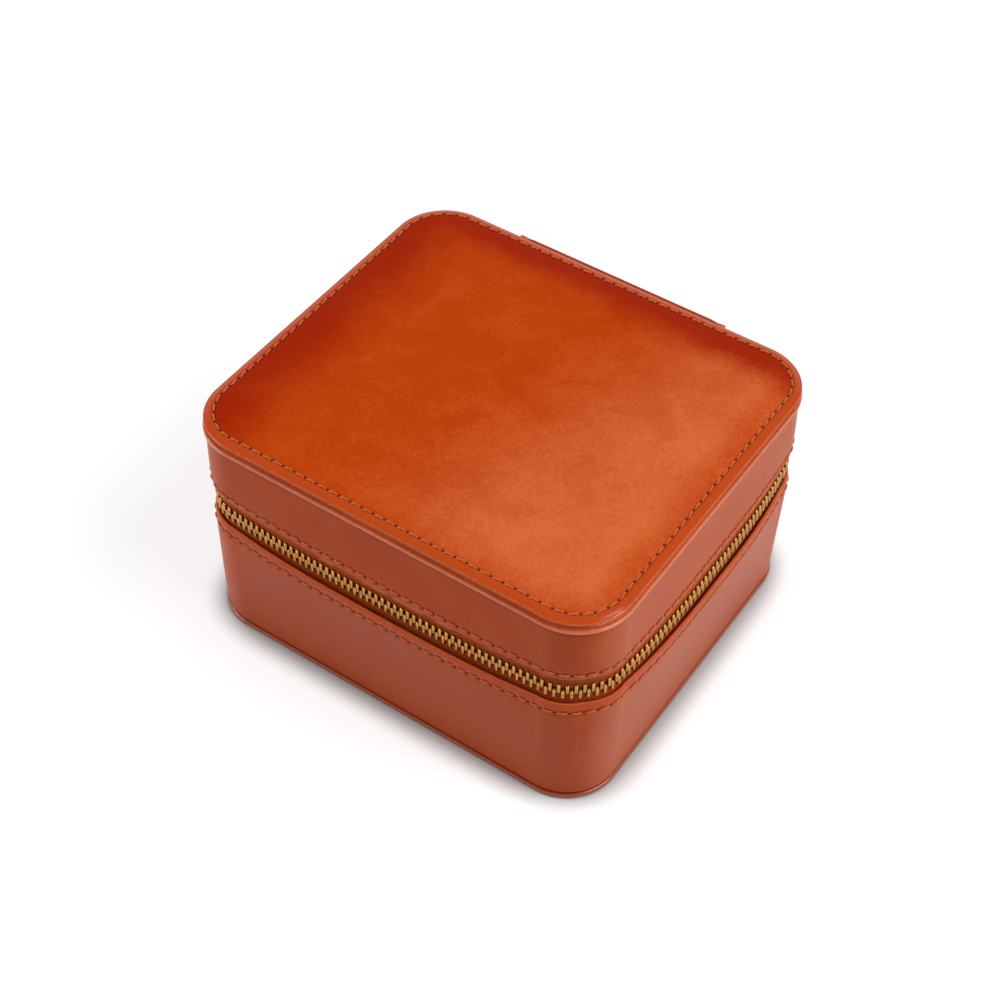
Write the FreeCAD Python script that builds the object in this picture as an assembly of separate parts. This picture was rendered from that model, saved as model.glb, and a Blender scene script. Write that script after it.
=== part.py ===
"""Zip-around leather watch case: two boarded, leather-covered halves joined by a leather spine.

Millimetres. Origin at the middle of the underside, +X to the right, +Y to the back, +Z up.
An inset is a distance inwards from the outline of the closed case, seen from above.
"""

import FreeCAD
import Part

import math
import os

# Outline of the closed case
CASE_WIDTH = 145.0
CASE_DEPTH = 128.0
CORNER_RADIUS = 17.5
BASE_HEIGHT = 46.2
ZIP_GAP = 10.9
LID_HEIGHT = 25.9

# Sheet materials and the glue line between them
LEATHER = 1.4
BOARD = 3.0
LINING = 1.0
GLUE = 0.1

# Turned rims of the top and bottom panels, the piping under the top and the welt over the bottom
RIM_HEIGHT = 1.8
RIM_BEVEL = 0.6
BEAD = 2.2
BEAD_BEVEL = 0.3
BEAD_FLANGE = 0.6
FLANGE_REACH = 6.2
WELT_SETBACK = 1.2
WALL_SETBACK = 0.4
TURNED_EDGE_BEVEL = 0.5

# Padded top
STITCH_INSET = 4.3
CROWN_RISE = 2.0
CROWN_OVERHANG = 6.0
FOAM_BORDER = 8.0

# Inside of the lid and the base
LIP_SETBACK = 0.4
PAD_HEIGHT = 7.0
PAD_BEVEL = 2.5
PAD_CLEARANCE = 0.3
DIVIDER_THICKNESS = 5.0
DIVIDER_DROP = 6.5
DIVIDER_ROUND = 2.0
CUSHION_SIDE_GAP = 4.0
STRAP_GAP = 14.0
CUSHION_DROP = 1.3
CUSHION_CORNER = 15.0
CUSHION_TUCK = 7.0
CUSHION_CROWN = 7.0
SEAT_CLEARANCE = 0.3

# Zip: tape, teeth and end stops
TAPE = 0.6
TAPE_CLEARANCE = 0.1
TAPE_SEWN = 9.0
PITCH = 2.25
TOOTH_WIDTH = 0.95
TOOTH_THICKNESS = 2.6
TOOTH_HEAD = 0.75
TOOTH_CROTCH = 1.45
TOOTH_LEG = 2.75
CLAMP_CLEARANCE = 0.08
STOP_WIDTH = 1.6

# Slider, bail and pull tab
SLIDER_LENGTH = 11.0
SLIDER_PLATE = 1.0
SLIDER_FLANGE = 0.8
SLIDER_BEVEL = 1.0
SLIDER_CLEARANCE = 0.25
SLOT_CLEARANCE = 0.35
MOUTH_FLARE = 0.8
DIAMOND_HALF_WIDTH = 1.2
PARKING_MARGIN = 1.0
BAIL_LENGTH = 6.4
BAIL_WIDTH = 1.8
BAIL_WIRE = 1.1
BAIL_ROUND = 0.9
TAB_LENGTH = 20.0
TAB_WIDTH = 7.0
TAB_THICKNESS = 1.1
TAB_ARM = 1.2
TAB_PLAY = 0.2
TAB_SLOT_LENGTH = 9.0
TAB_SLOT_WIDTH = 2.6

# Leather spine at the back and the strip that lines it
SPINE_WIDTH = 76.0
SPINE_THICKNESS = 2.0
SPINE_END_GAP = 1.0
SPINE_ROUND = 0.9
TAPE_TUCK = 8.0
HINGE_LINING = 0.8
HINGE_LINING_WIDTH = 92.0
HINGE_LINING_LAP = 5.0
HINGE_LINING_SAG = 2.5

# Levels and insets that several pieces share
ZIP_Z = BASE_HEIGHT + ZIP_GAP / 2
LID_EDGE_Z = BASE_HEIGHT + ZIP_GAP
TOP_Z = LID_EDGE_Z + LID_HEIGHT
WALL_BACK = WALL_SETBACK + LEATHER
BOARD_FACE = WALL_BACK + GLUE
BOARD_BACK = BOARD_FACE + BOARD
LINING_FACE = BOARD_BACK + GLUE
LINING_BACK = LINING_FACE + LINING
TAPE_FACE = BOARD_FACE + TAPE_CLEARANCE
TAPE_BACK = TAPE_FACE + TAPE
TAPE_MIDDLE = (TAPE_FACE + TAPE_BACK) / 2
REBATE_BACK = TAPE_BACK + TAPE_CLEARANCE
TAPE_EDGE = TOOTH_CROTCH + CLAMP_CLEARANCE
FLOOR_BOARD_Z = RIM_HEIGHT + BEAD_FLANGE + GLUE
FLOOR_BOARD_TOP = FLOOR_BOARD_Z + BOARD
FLOOR_Z = FLOOR_BOARD_TOP + GLUE + LINING
TOP_BOARD_Z = TOP_Z - FLOOR_BOARD_TOP
PLACE_WIDTH = CASE_WIDTH / 2 - LINING_BACK - DIVIDER_THICKNESS / 2
PLACE_MIDDLE = DIVIDER_THICKNESS / 2 + PLACE_WIDTH / 2
CUSHION_WIDTH = PLACE_WIDTH - 2 * CUSHION_SIDE_GAP
CUSHION_LENGTH = CASE_DEPTH - 2 * LINING_BACK - 2 * STRAP_GAP
CUSHION_Z = FLOOR_Z + SEAT_CLEARANCE
CUSHION_HEIGHT = BASE_HEIGHT - CUSHION_DROP - CUSHION_Z
DIVIDER_TOP = BASE_HEIGHT - DIVIDER_DROP
BASE_LINING_TOP = BASE_HEIGHT - LIP_SETBACK
LID_LINING_BOTTOM = LID_EDGE_Z + LIP_SETBACK
BACK_Y = CASE_DEPTH / 2
SPINE_FACE_Y = BACK_Y + GLUE


def vector(x, y, z):
    return FreeCAD.Vector(x, y, z)


def outline(width, depth, radius, z):
    """Rounded rectangle as one closed wire, always with its edges in the same order."""
    w, d = width / 2, depth / 2
    r = min(radius, w * 0.9, d * 0.9)
    edges = []
    for centre_x, centre_y, start in (
        (w - r, d - r, 0),
        (r - w, d - r, 90),
        (r - w, r - d, 180),
        (w - r, r - d, 270),
    ):
        points = []
        for turn in (0, 45, 90):
            angle = math.radians(start + turn)
            points.append(vector(centre_x + r * math.cos(angle), centre_y + r * math.sin(angle), z))
        if edges:
            edges.append(Part.LineSegment(last, points[0]).toShape())
        else:
            first = points[0]
        edges.append(Part.Arc(*points).toShape())
        last = points[2]
    edges.append(Part.LineSegment(last, first).toShape())
    return Part.Wire(edges)


def case_outline(inset, z):
    least_radius = 3.0
    radius = max(CORNER_RADIUS - inset, least_radius)
    return outline(CASE_WIDTH - 2 * inset, CASE_DEPTH - 2 * inset, radius, z)


def plate(inset, low, high):
    return Part.Face(case_outline(inset, low)).extrude(vector(0, 0, high - low))


def ring(outer_inset, inner_inset, low, high):
    return plate(outer_inset, low, high).cut(plate(inner_inset, low, high))


def box(x0, x1, y0, y1, z0, z1):
    return Part.makeBox(x1 - x0, y1 - y0, z1 - z0, vector(x0, y0, z0))


def prism(points, depth):
    """Solid from a closed outline of points, pushed along a vector."""
    return Part.Face(Part.makePolygon(points + points[:1])).extrude(depth)


def rounded(solid, radius, wanted):
    """Rounds the edges whose bounding box passes the test."""
    return solid.makeFillet(radius, [e for e in solid.Edges if wanted(e.BoundBox)])


def bevelled(solid, size, wanted):
    """Bevels the edges whose bounding box passes the test."""
    return solid.makeChamfer(size, [e for e in solid.Edges if wanted(e.BoundBox)])


def level_edge(z, least_width=0.0):
    """Test for edges that lie at one level and reach at least so far from the middle."""

    def wanted(bounds):
        flat = abs(bounds.ZMin - z) < 1e-4 and abs(bounds.ZMax - z) < 1e-4
        reach = max(abs(bounds.XMin), abs(bounds.XMax)) >= least_width / 2 - 1e-4
        deep = max(abs(bounds.YMin), abs(bounds.YMax)) >= (least_width - CASE_WIDTH + CASE_DEPTH) / 2 - 1e-4
        return flat and (reach or deep)

    return wanted


def vault(half_span, half_length, low, spring, rise):
    """Barrel vault along Y: upright sides to the springing line, then one arc over the span."""
    y = -half_length
    pieces = [
        Part.LineSegment(vector(half_span, y, spring), vector(half_span, y, low)),
        Part.LineSegment(vector(half_span, y, low), vector(-half_span, y, low)),
        Part.LineSegment(vector(-half_span, y, low), vector(-half_span, y, spring)),
        Part.Arc(
            vector(-half_span, y, spring),
            vector(0, y, spring + rise),
            vector(half_span, y, spring),
        ),
    ]
    wire = Part.Wire([piece.toShape() for piece in pieces])
    return Part.Face(wire).extrude(vector(0, 2 * half_length, 0))


def crown(inset, low, spring, rise):
    """Padded block over the case outline, crowned both ways, its border a little above the springing."""
    wide = CASE_WIDTH / 2 - inset + CROWN_OVERHANG
    deep = CASE_DEPTH / 2 - inset + CROWN_OVERHANG
    across = vault(wide, deep, low - 1, spring, rise)
    along = vault(deep, wide, low - 1, spring, rise)
    along.rotate(vector(0, 0, 0), vector(0, 0, 1), 90)
    return plate(inset, low, spring + rise + 1).common(across).common(along)


def upside_down(solid):
    """The same piece turned over about the middle of the closed case's height."""
    return solid.mirror(vector(0, 0, TOP_Z / 2), vector(0, 0, 1))


def bottom_panel():
    panel = plate(0, 0, RIM_HEIGHT)
    for z in (0, RIM_HEIGHT):
        panel = bevelled(panel, RIM_BEVEL, level_edge(z))
    return panel


def piping():
    """Round bead with a flat flange that is sewn in between a panel and its board."""
    low, high = RIM_HEIGHT, RIM_HEIGHT + BEAD
    bead = ring(0, BEAD, low, high)
    for z in (low, high):
        bead = bevelled(bead, BEAD_BEVEL * BEAD, level_edge(z, CASE_WIDTH))
    flange = ring(BEAD / 2, FLANGE_REACH, low, low + BEAD_FLANGE)
    return bead.fuse(flange).removeSplitter()


def welt():
    """Flat strip sewn into the bottom seam, set back so that the seam shows as a groove."""
    return ring(WELT_SETBACK, FLANGE_REACH, RIM_HEIGHT, RIM_HEIGHT + BEAD_FLANGE)


def wall_leather(low, high, zip_edge):
    wall = ring(WALL_SETBACK, WALL_BACK, low, high)
    return bevelled(wall, TURNED_EDGE_BEVEL, level_edge(zip_edge, CASE_WIDTH - 2 * WALL_SETBACK))


def wall_board(low, high, zip_side):
    """Bent board wall, thinned outside along the zip so that the tape lies flush."""
    sewn_low, sewn_high = (high - TAPE_SEWN, high) if zip_side > 0 else (low, low + TAPE_SEWN)
    return ring(BOARD_FACE, BOARD_BACK, low, high).cut(ring(0, REBATE_BACK, sewn_low, sewn_high))


def wall_lining(low, high, zip_side):
    """Lining strip with a lip that is turned out over the edge of the board."""
    lined = ring(REBATE_BACK + TAPE_CLEARANCE, LINING_BACK, low, high)
    behind_low, behind_high = (low, high - LINING) if zip_side > 0 else (low + LINING, high)
    return lined.cut(ring(0, LINING_FACE, behind_low, behind_high))


def zip_tape(row):
    """Woven tape round the front, sides and back corners, its ends tucked under the spine.

    Along the chain its edge stands back inside the teeth; past the chain's ends the tapes meet.
    """
    sewn = ZIP_Z + row * (ZIP_GAP / 2 + TAPE_SEWN)
    edge, meeting = ZIP_Z + row * TAPE_EDGE, ZIP_Z + row * TAPE_CLEARANCE
    low, high = sorted((sewn, meeting))
    notch_low, notch_high = sorted((edge, meeting))
    gap = SPINE_WIDTH / 2 - TAPE_TUCK
    tape = ring(TAPE_FACE, TAPE_BACK, low, high).cut(box(-gap, gap, 0, CASE_DEPTH, low, high))
    side_end = CASE_DEPTH / 2 - CORNER_RADIUS
    corner_end = CASE_WIDTH / 2 - CORNER_RADIUS
    tape = tape.cut(box(-CASE_WIDTH, CASE_WIDTH, -CASE_DEPTH, side_end, notch_low, notch_high))
    return tape.cut(box(corner_end, CASE_WIDTH, 0, CASE_DEPTH, notch_low, notch_high))


def on_chain(s):
    """Point of the zip's middle line and its heading, s along it to the right from the front's middle."""
    side = 1 if s >= 0 else -1
    radius = CORNER_RADIUS - TAPE_MIDDLE
    straight_x = CASE_WIDTH / 2 - CORNER_RADIUS
    straight_y = CASE_DEPTH - 2 * CORNER_RADIUS
    arc = radius * math.pi / 2
    corner_x, front_y = straight_x, CORNER_RADIUS - CASE_DEPTH / 2
    left = abs(s)
    if left <= straight_x:
        x, y, turn = left, front_y - radius, 0.0
    elif left <= straight_x + arc:
        turn = (left - straight_x) / radius
        x, y = corner_x + radius * math.sin(turn), front_y - radius * math.cos(turn)
    elif left <= straight_x + arc + straight_y:
        x, y, turn = corner_x + radius, front_y + left - straight_x - arc, math.pi / 2
    else:
        turn = math.pi / 2 + (left - straight_x - arc - straight_y) / radius
        x = corner_x + radius * math.sin(turn)
        y = front_y + straight_y - radius * math.cos(turn)
    return x * side, y, turn * side


CHAIN_TO_SIDE = CASE_WIDTH / 2 - CORNER_RADIUS + (CORNER_RADIUS - TAPE_MIDDLE) * math.pi / 2
SIDE_STRAIGHT = CASE_DEPTH - 2 * CORNER_RADIUS
SLIDER_Y = SIDE_STRAIGHT / 2 - PARKING_MARGIN - SLIDER_LENGTH / 2
SLIDER_X = TAPE_MIDDLE - CASE_WIDTH / 2
CHAIN_LEFT = -(CHAIN_TO_SIDE + SIDE_STRAIGHT / 2 + SLIDER_Y)
CHAIN_RIGHT = CHAIN_TO_SIDE + SIDE_STRAIGHT + (CORNER_RADIUS - TAPE_MIDDLE) * math.pi / 2


def clamp(width, head, row):
    """One element: a head that meshes, and two tapered legs that pinch the edge of the tape.

    row is 1 for the lid's tape above the middle line and -1 for the base's tape below it.
    """
    half, slot = TOOTH_THICKNESS / 2, TAPE / 2 + CLAMP_CLEARANCE
    profile = (
        (-half, -head),
        (half, -head),
        (half, TOOTH_LEG),
        (slot, TOOTH_CROTCH),
        (-slot, TOOTH_CROTCH),
        (-half, TOOTH_LEG),
    )
    points = [vector(-width / 2, n, row * v) for n, v in profile]
    return prism(points, vector(width, 0, 0))


def along_chain(element, s):
    x, y, turn = on_chain(s)
    placed = element.copy()
    placed.Placement = FreeCAD.Placement(
        vector(x, y, ZIP_Z), FreeCAD.Rotation(vector(0, 0, 1), math.degrees(turn))
    )
    return placed


def chain_places(row):
    """Middle of each tooth in one row; the rows stand half a pitch apart."""
    first = CHAIN_LEFT + STOP_WIDTH + PITCH / 2
    last = CHAIN_RIGHT - STOP_WIDTH - PITCH / 2
    start = first + (PITCH / 2 if row < 0 else 0.0)
    return [start + PITCH * n for n in range(int((last - start) / PITCH) + 1)]


def zip_teeth(row):
    tooth = clamp(TOOTH_WIDTH, TOOTH_HEAD, row)
    return Part.makeCompound([along_chain(tooth, s) for s in chain_places(row)])


def zip_stops(row):
    """One plain clamp at each end of a row, which the slider can't pass."""
    stop = clamp(STOP_WIDTH, -2 * CLAMP_CLEARANCE, row)
    ends = (CHAIN_LEFT + STOP_WIDTH / 2, CHAIN_RIGHT - STOP_WIDTH / 2)
    return Part.makeCompound([along_chain(stop, s) for s in ends])


# Slider sizes, from the middle of the tape: out along the case's left side, and up or down
CHANNEL = TOOTH_THICKNESS / 2 + SLIDER_CLEARANCE
SLIDER_FACE = CHANNEL + SLIDER_PLATE
TAIL_CHANNEL = TOOTH_LEG + SLIDER_CLEARANCE
TAIL_HALF = TAIL_CHANNEL + SLIDER_FLANGE
MOUTH_CHANNEL = TAIL_CHANNEL + MOUTH_FLARE
MOUTH_HALF = TAIL_HALF + MOUTH_FLARE
SLOT_HALF = TAPE / 2 + SLOT_CLEARANCE


def slider_outline(tail, mouth, ends):
    """Wedge-shaped plan of the slider, its wide mouth to the back."""
    half = SLIDER_LENGTH / 2
    waist = 0.1 * SLIDER_LENGTH
    return [
        (-half - ends, -tail),
        (-waist, -tail),
        (waist, -mouth),
        (half + ends, -mouth),
        (half + ends, mouth),
        (waist, mouth),
        (-waist, tail),
        (-half - ends, tail),
    ]


def slider_prism(plan, near, far):
    """Pushes a plan drawn in Y and Z, about the slider, out along the left side's normal."""
    points = [vector(SLIDER_X - near, SLIDER_Y + y, ZIP_Z + z) for y, z in plan]
    return prism(points, vector(near - far, 0, 0))


def slider_body():
    """Two flanged plates joined by the diamond that parts the rows of teeth."""
    half = SLIDER_LENGTH / 2
    block = slider_prism(slider_outline(TAIL_HALF, MOUTH_HALF, 0), -SLIDER_FACE, SLIDER_FACE)

    def end_corner(bounds):
        at_end = abs(abs((bounds.YMin + bounds.YMax) / 2 - SLIDER_Y) - half) < 1e-4
        return at_end and bounds.XLength > 2 * SLIDER_FACE - 1e-4

    block = bevelled(block, SLIDER_BEVEL, end_corner)
    channel = slider_prism(slider_outline(TAIL_CHANNEL, MOUTH_CHANNEL, 1), -CHANNEL, CHANNEL)
    reach = MOUTH_HALF + 1
    whole = [(-half - 1, -reach), (half + 1, -reach), (half + 1, reach), (-half - 1, reach)]
    slot = slider_prism(whole, -SLOT_HALF, SLOT_HALF)
    body = block.cut(channel).cut(slot)
    tip, shoulder, heel = 0.05 * SLIDER_LENGTH, 0.22 * SLIDER_LENGTH, 0.45 * SLIDER_LENGTH
    diamond_plan = [
        (tip, 0),
        (shoulder, -DIAMOND_HALF_WIDTH),
        (heel, -DIAMOND_HALF_WIDTH),
        (heel, DIAMOND_HALF_WIDTH),
        (shoulder, DIAMOND_HALF_WIDTH),
    ]
    embedded = CHANNEL + SLIDER_PLATE / 2
    return body.fuse(slider_prism(diamond_plan, -embedded, embedded)).removeSplitter()


# The pull tab's pin runs up and down through the bail, just clear of the slider
PIN_RADIUS = TAB_THICKNESS / 2
PIN_OUT = SLIDER_FACE + TAB_PLAY + PIN_RADIUS
BAIL_INSIDE = BAIL_LENGTH / 2 - BAIL_WIRE
PIN_Y = SLIDER_Y - BAIL_INSIDE + PIN_RADIUS + TAB_PLAY
PIN_X = SLIDER_X - PIN_OUT


def slider_bail():
    """Arched loop on the slider's outer plate that carries the pull tab."""
    height = 2 * (PIN_RADIUS + TAB_PLAY)
    half, inside = BAIL_LENGTH / 2, BAIL_INSIDE
    top = SLIDER_FACE + height + BAIL_WIRE
    low, high = ZIP_Z - BAIL_WIDTH / 2, ZIP_Z + BAIL_WIDTH / 2
    arch = box(SLIDER_X - top, SLIDER_X - SLIDER_FACE, SLIDER_Y - half, SLIDER_Y + half, low, high)

    def outer_corner(bounds):
        return abs(bounds.XMax - (SLIDER_X - top)) < 1e-4 and bounds.ZLength > BAIL_WIDTH - 1e-4

    arch = rounded(arch, BAIL_ROUND, outer_corner)
    opening_top = SLIDER_X - SLIDER_FACE - height
    return arch.cut(box(opening_top, SLIDER_X, SLIDER_Y - inside, SLIDER_Y + inside, low, high))


def pull_tab():
    """Stamped tab with an eye that straddles the bail, lying forward along the zip."""
    gap = BAIL_WIDTH / 2 + TAB_PLAY
    outer = gap + TAB_ARM
    eye = PIN_Y - TAB_PLAY - BAIL_WIRE
    eye_length = SLIDER_Y + BAIL_LENGTH / 2 + 2 * TAB_PLAY - PIN_Y
    shoulder = PIN_Y - max(eye_length, PIN_Y - eye)
    x0, x1 = PIN_X - PIN_RADIUS, PIN_X + PIN_RADIUS
    pin = Part.makeCylinder(PIN_RADIUS, 2 * outer, vector(PIN_X, PIN_Y, ZIP_Z - outer), vector(0, 0, 1))
    arms = box(x0, x1, shoulder, PIN_Y, -outer + ZIP_Z, outer + ZIP_Z)
    arms = arms.cut(box(x0, x1, shoulder, PIN_Y, -gap + ZIP_Z, gap + ZIP_Z))
    half = TAB_WIDTH / 2
    end = shoulder - TAB_LENGTH
    blade = [
        Part.LineSegment(vector(x0, shoulder, ZIP_Z + outer), vector(x0, shoulder - half, ZIP_Z + half)),
        Part.LineSegment(vector(x0, shoulder - half, ZIP_Z + half), vector(x0, end + half, ZIP_Z + half)),
        Part.Arc(
            vector(x0, end + half, ZIP_Z + half),
            vector(x0, end, ZIP_Z),
            vector(x0, end + half, ZIP_Z - half),
        ),
        Part.LineSegment(vector(x0, end + half, ZIP_Z - half), vector(x0, shoulder - half, ZIP_Z - half)),
        Part.LineSegment(vector(x0, shoulder - half, ZIP_Z - half), vector(x0, shoulder, ZIP_Z - outer)),
        Part.LineSegment(vector(x0, shoulder, ZIP_Z - outer), vector(x0, shoulder, ZIP_Z + outer)),
    ]
    wire = Part.Wire([piece.toShape() for piece in blade])
    tab = Part.Face(wire).extrude(vector(TAB_THICKNESS, 0, 0))
    slot_end = end + half
    slot_start = slot_end + TAB_SLOT_LENGTH - TAB_SLOT_WIDTH
    slot_radius = TAB_SLOT_WIDTH / 2
    slot = box(x0, x1, slot_end, slot_start, ZIP_Z - slot_radius, ZIP_Z + slot_radius)
    for y in (slot_end, slot_start):
        slot = slot.fuse(Part.makeCylinder(slot_radius, TAB_THICKNESS, vector(x0, y, ZIP_Z), vector(1, 0, 0)))
    return tab.cut(slot).fuse([arms, pin]).removeSplitter()


def top_panel():
    """Leather top: a turned rim, a flat sewn border and a padded crown."""
    rim = upside_down(bottom_panel())
    dome = crown(STITCH_INSET, TOP_Z - RIM_HEIGHT / 2, TOP_Z, CROWN_RISE)
    return rim.fuse(dome).cut(foam_block(-GLUE)).removeSplitter()


def foam_block(clearance):
    """Foam under the crown, or with a negative clearance the hollow that holds it."""
    low = TOP_Z - RIM_HEIGHT - BEAD_FLANGE + clearance
    return crown(FOAM_BORDER + clearance, low, TOP_Z - LEATHER - clearance, CROWN_RISE)


def lid_pad():
    """Padded lining panel glued up inside the lid."""
    inset = LINING_BACK + PAD_CLEARANCE
    high = TOP_BOARD_Z - GLUE
    pad = plate(inset, high - PAD_HEIGHT, high)
    return bevelled(pad, min(PAD_BEVEL, 0.45 * PAD_HEIGHT), level_edge(high - PAD_HEIGHT))


def divider():
    """Covered board between the two watch places, standing on the floor lining."""
    half = DIVIDER_THICKNESS / 2
    reach = CASE_DEPTH / 2 - LINING_BACK - SEAT_CLEARANCE
    wall = box(-half, half, -reach, reach, FLOOR_Z + GLUE, DIVIDER_TOP)
    return rounded(
        wall,
        min(DIVIDER_ROUND, 0.45 * DIVIDER_THICKNESS),
        lambda bounds: bounds.ZMin > DIVIDER_TOP - GLUE and bounds.YLength > reach,
    )


def bolster(width, length):
    """Stuffed block along Y: bowed sides drawn in above and below, and a crowned top."""
    half, tuck = width / 2, CUSHION_TUCK
    low, high = CUSHION_Z, CUSHION_Z + CUSHION_HEIGHT - CUSHION_CROWN
    waist = (low + high) / 2
    y = -length / 2
    pieces = [
        Part.LineSegment(vector(tuck - half, y, low), vector(half - tuck, y, low)),
        Part.Arc(vector(half - tuck, y, low), vector(half, y, waist), vector(half - tuck, y, high)),
        Part.Arc(
            vector(half - tuck, y, high),
            vector(0, y, high + CUSHION_CROWN),
            vector(tuck - half, y, high),
        ),
        Part.Arc(vector(tuck - half, y, high), vector(-half, y, waist), vector(tuck - half, y, low)),
    ]
    wire = Part.Wire([piece.toShape() for piece in pieces])
    return Part.Face(wire).extrude(vector(0, length, 0))


def cushion(side):
    """Stuffed watch cushion: full at the waist, tucked in above and below. side is -1 left, 1 right."""
    across = bolster(CUSHION_WIDTH, CUSHION_LENGTH)
    along = bolster(CUSHION_LENGTH, CUSHION_WIDTH)
    along.rotate(vector(0, 0, 0), vector(0, 0, 1), 90)
    plan = Part.Face(outline(CUSHION_WIDTH, CUSHION_LENGTH, CUSHION_CORNER, CUSHION_Z))
    pillow = plan.extrude(vector(0, 0, CUSHION_HEIGHT)).common(across).common(along)
    pillow.translate(vector(side * PLACE_MIDDLE, 0, 0))
    return pillow


def spine():
    """Leather panel down the back that joins the halves and bends at the zip's level."""
    half = SPINE_WIDTH / 2
    panel = box(
        -half, half, SPINE_FACE_Y, SPINE_FACE_Y + SPINE_THICKNESS, SPINE_END_GAP, TOP_Z - SPINE_END_GAP
    )
    outside = SPINE_FACE_Y + SPINE_THICKNESS
    return rounded(
        panel,
        min(SPINE_ROUND, 0.45 * SPINE_THICKNESS),
        lambda bounds: abs(bounds.YMin - outside) < 1e-4 and bounds.YLength < 1e-4,
    )


def hinge_lining():
    """Slack lining strip inside the spine, glued to both wall linings and bowed inwards between."""
    half = HINGE_LINING_WIDTH / 2
    face = BACK_Y - LINING_BACK - GLUE
    back = face - HINGE_LINING
    low, high = BASE_LINING_TOP - HINGE_LINING_LAP, LID_LINING_BOTTOM + HINGE_LINING_LAP
    bow_low, bow_high = BASE_LINING_TOP, LID_LINING_BOTTOM
    sag = HINGE_LINING_SAG

    def at(y, z):
        return vector(-half, y, z)

    pieces = [
        Part.LineSegment(at(face, low), at(face, bow_low)),
        Part.Arc(at(face, bow_low), at(face - sag, ZIP_Z), at(face, bow_high)),
        Part.LineSegment(at(face, bow_high), at(face, high)),
        Part.LineSegment(at(face, high), at(back, high)),
        Part.LineSegment(at(back, high), at(back, bow_high)),
        Part.Arc(at(back, bow_high), at(back - sag, ZIP_Z), at(back, bow_low)),
        Part.LineSegment(at(back, bow_low), at(back, low)),
        Part.LineSegment(at(back, low), at(face, low)),
    ]
    wire = Part.Wire([piece.toShape() for piece in pieces])
    return Part.Face(wire).extrude(vector(HINGE_LINING_WIDTH, 0, 0))


def build():
    """Every piece by its name."""
    wall_foot = RIM_HEIGHT + BEAD_FLANGE + GLUE
    wall_top = TOP_Z - RIM_HEIGHT - BEAD - GLUE
    board_foot = FLOOR_BOARD_TOP + GLUE
    board_edge = BASE_LINING_TOP - LINING - GLUE
    lid_board_edge = LID_LINING_BOTTOM + LINING + GLUE
    floor_inset = BEAD + 2 * GLUE
    floor_lining_z = FLOOR_BOARD_TOP + GLUE
    return {
        "base_bottom_panel": bottom_panel(),
        "base_welt": welt(),
        "base_wall_leather": wall_leather(wall_foot, BASE_HEIGHT, BASE_HEIGHT),
        "base_floor_board": plate(floor_inset, FLOOR_BOARD_Z, FLOOR_BOARD_TOP),
        "base_wall_board": wall_board(board_foot, board_edge, 1),
        "base_floor_lining": plate(LINING_FACE, floor_lining_z, FLOOR_Z),
        "base_wall_lining": wall_lining(FLOOR_Z + GLUE, BASE_LINING_TOP, 1),
        "divider": divider(),
        "watch_cushion_left": cushion(-1),
        "watch_cushion_right": cushion(1),
        "zip_tape_base": zip_tape(-1),
        "zip_teeth_base": zip_teeth(-1),
        "zip_stops_base": zip_stops(-1),
        "spine": spine(),
        "hinge_lining": hinge_lining(),
        "lid_top_panel": top_panel(),
        "lid_foam": foam_block(0.0),
        "lid_piping": upside_down(piping()),
        "lid_wall_leather": wall_leather(LID_EDGE_Z, wall_top, LID_EDGE_Z),
        "lid_top_board": plate(floor_inset, TOP_BOARD_Z, TOP_Z - FLOOR_BOARD_Z),
        "lid_wall_board": wall_board(lid_board_edge, TOP_BOARD_Z - GLUE, -1),
        "lid_wall_lining": wall_lining(LID_LINING_BOTTOM, TOP_BOARD_Z - GLUE, -1),
        "lid_pad": lid_pad(),
        "zip_tape_lid": zip_tape(1),
        "zip_teeth_lid": zip_teeth(1),
        "zip_stops_lid": zip_stops(1),
        "slider_body": slider_body(),
        "slider_bail": slider_bail(),
        "pull_tab": pull_tab(),
    }


def main():
    os.makedirs("parts", exist_ok=True)
    for name, shape in build().items():
        shape.exportStep(f"parts/{name}.step")


main()
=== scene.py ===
import math

import bmesh
import bpy
import numpy as np
from bpy.props import FloatProperty, FloatVectorProperty, PointerProperty
from mathutils import Matrix, Vector


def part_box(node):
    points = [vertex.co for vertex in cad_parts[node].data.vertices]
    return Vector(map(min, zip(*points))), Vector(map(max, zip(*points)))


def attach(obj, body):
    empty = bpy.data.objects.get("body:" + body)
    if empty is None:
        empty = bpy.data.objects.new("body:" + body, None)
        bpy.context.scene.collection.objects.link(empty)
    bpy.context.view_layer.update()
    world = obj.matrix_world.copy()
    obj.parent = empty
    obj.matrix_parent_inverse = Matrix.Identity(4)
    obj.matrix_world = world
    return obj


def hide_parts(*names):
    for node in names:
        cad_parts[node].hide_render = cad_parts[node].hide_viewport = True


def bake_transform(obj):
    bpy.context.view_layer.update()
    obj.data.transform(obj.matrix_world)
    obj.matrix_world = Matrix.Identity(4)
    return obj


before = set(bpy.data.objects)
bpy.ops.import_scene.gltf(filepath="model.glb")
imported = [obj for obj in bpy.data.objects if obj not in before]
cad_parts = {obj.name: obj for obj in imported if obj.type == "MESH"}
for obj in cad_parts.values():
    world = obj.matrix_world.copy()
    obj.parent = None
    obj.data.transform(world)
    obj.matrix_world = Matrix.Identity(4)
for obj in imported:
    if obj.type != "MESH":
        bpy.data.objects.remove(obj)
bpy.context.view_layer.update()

bl_info = {
    "name": "Zip-around watch case",
    "version": (1, 0, 0),
    "blender": (4, 5, 0),
    "location": "View3D > Sidebar > Watch case",
    "description": "Dresses a leather watch case around its packed solids",
    "category": "Object",
}

MM = 0.001
QUARTER = math.pi / 2
UP, DOWN, BACKWARDS = (0.0, 0.0, 1.0), (0.0, 0.0, -1.0), (0.0, 1.0, 0.0)
# Distance from a seam, in millimetres, of a place that has no needle holes near it.
FAR_FROM_STITCHES = 50.0


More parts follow.
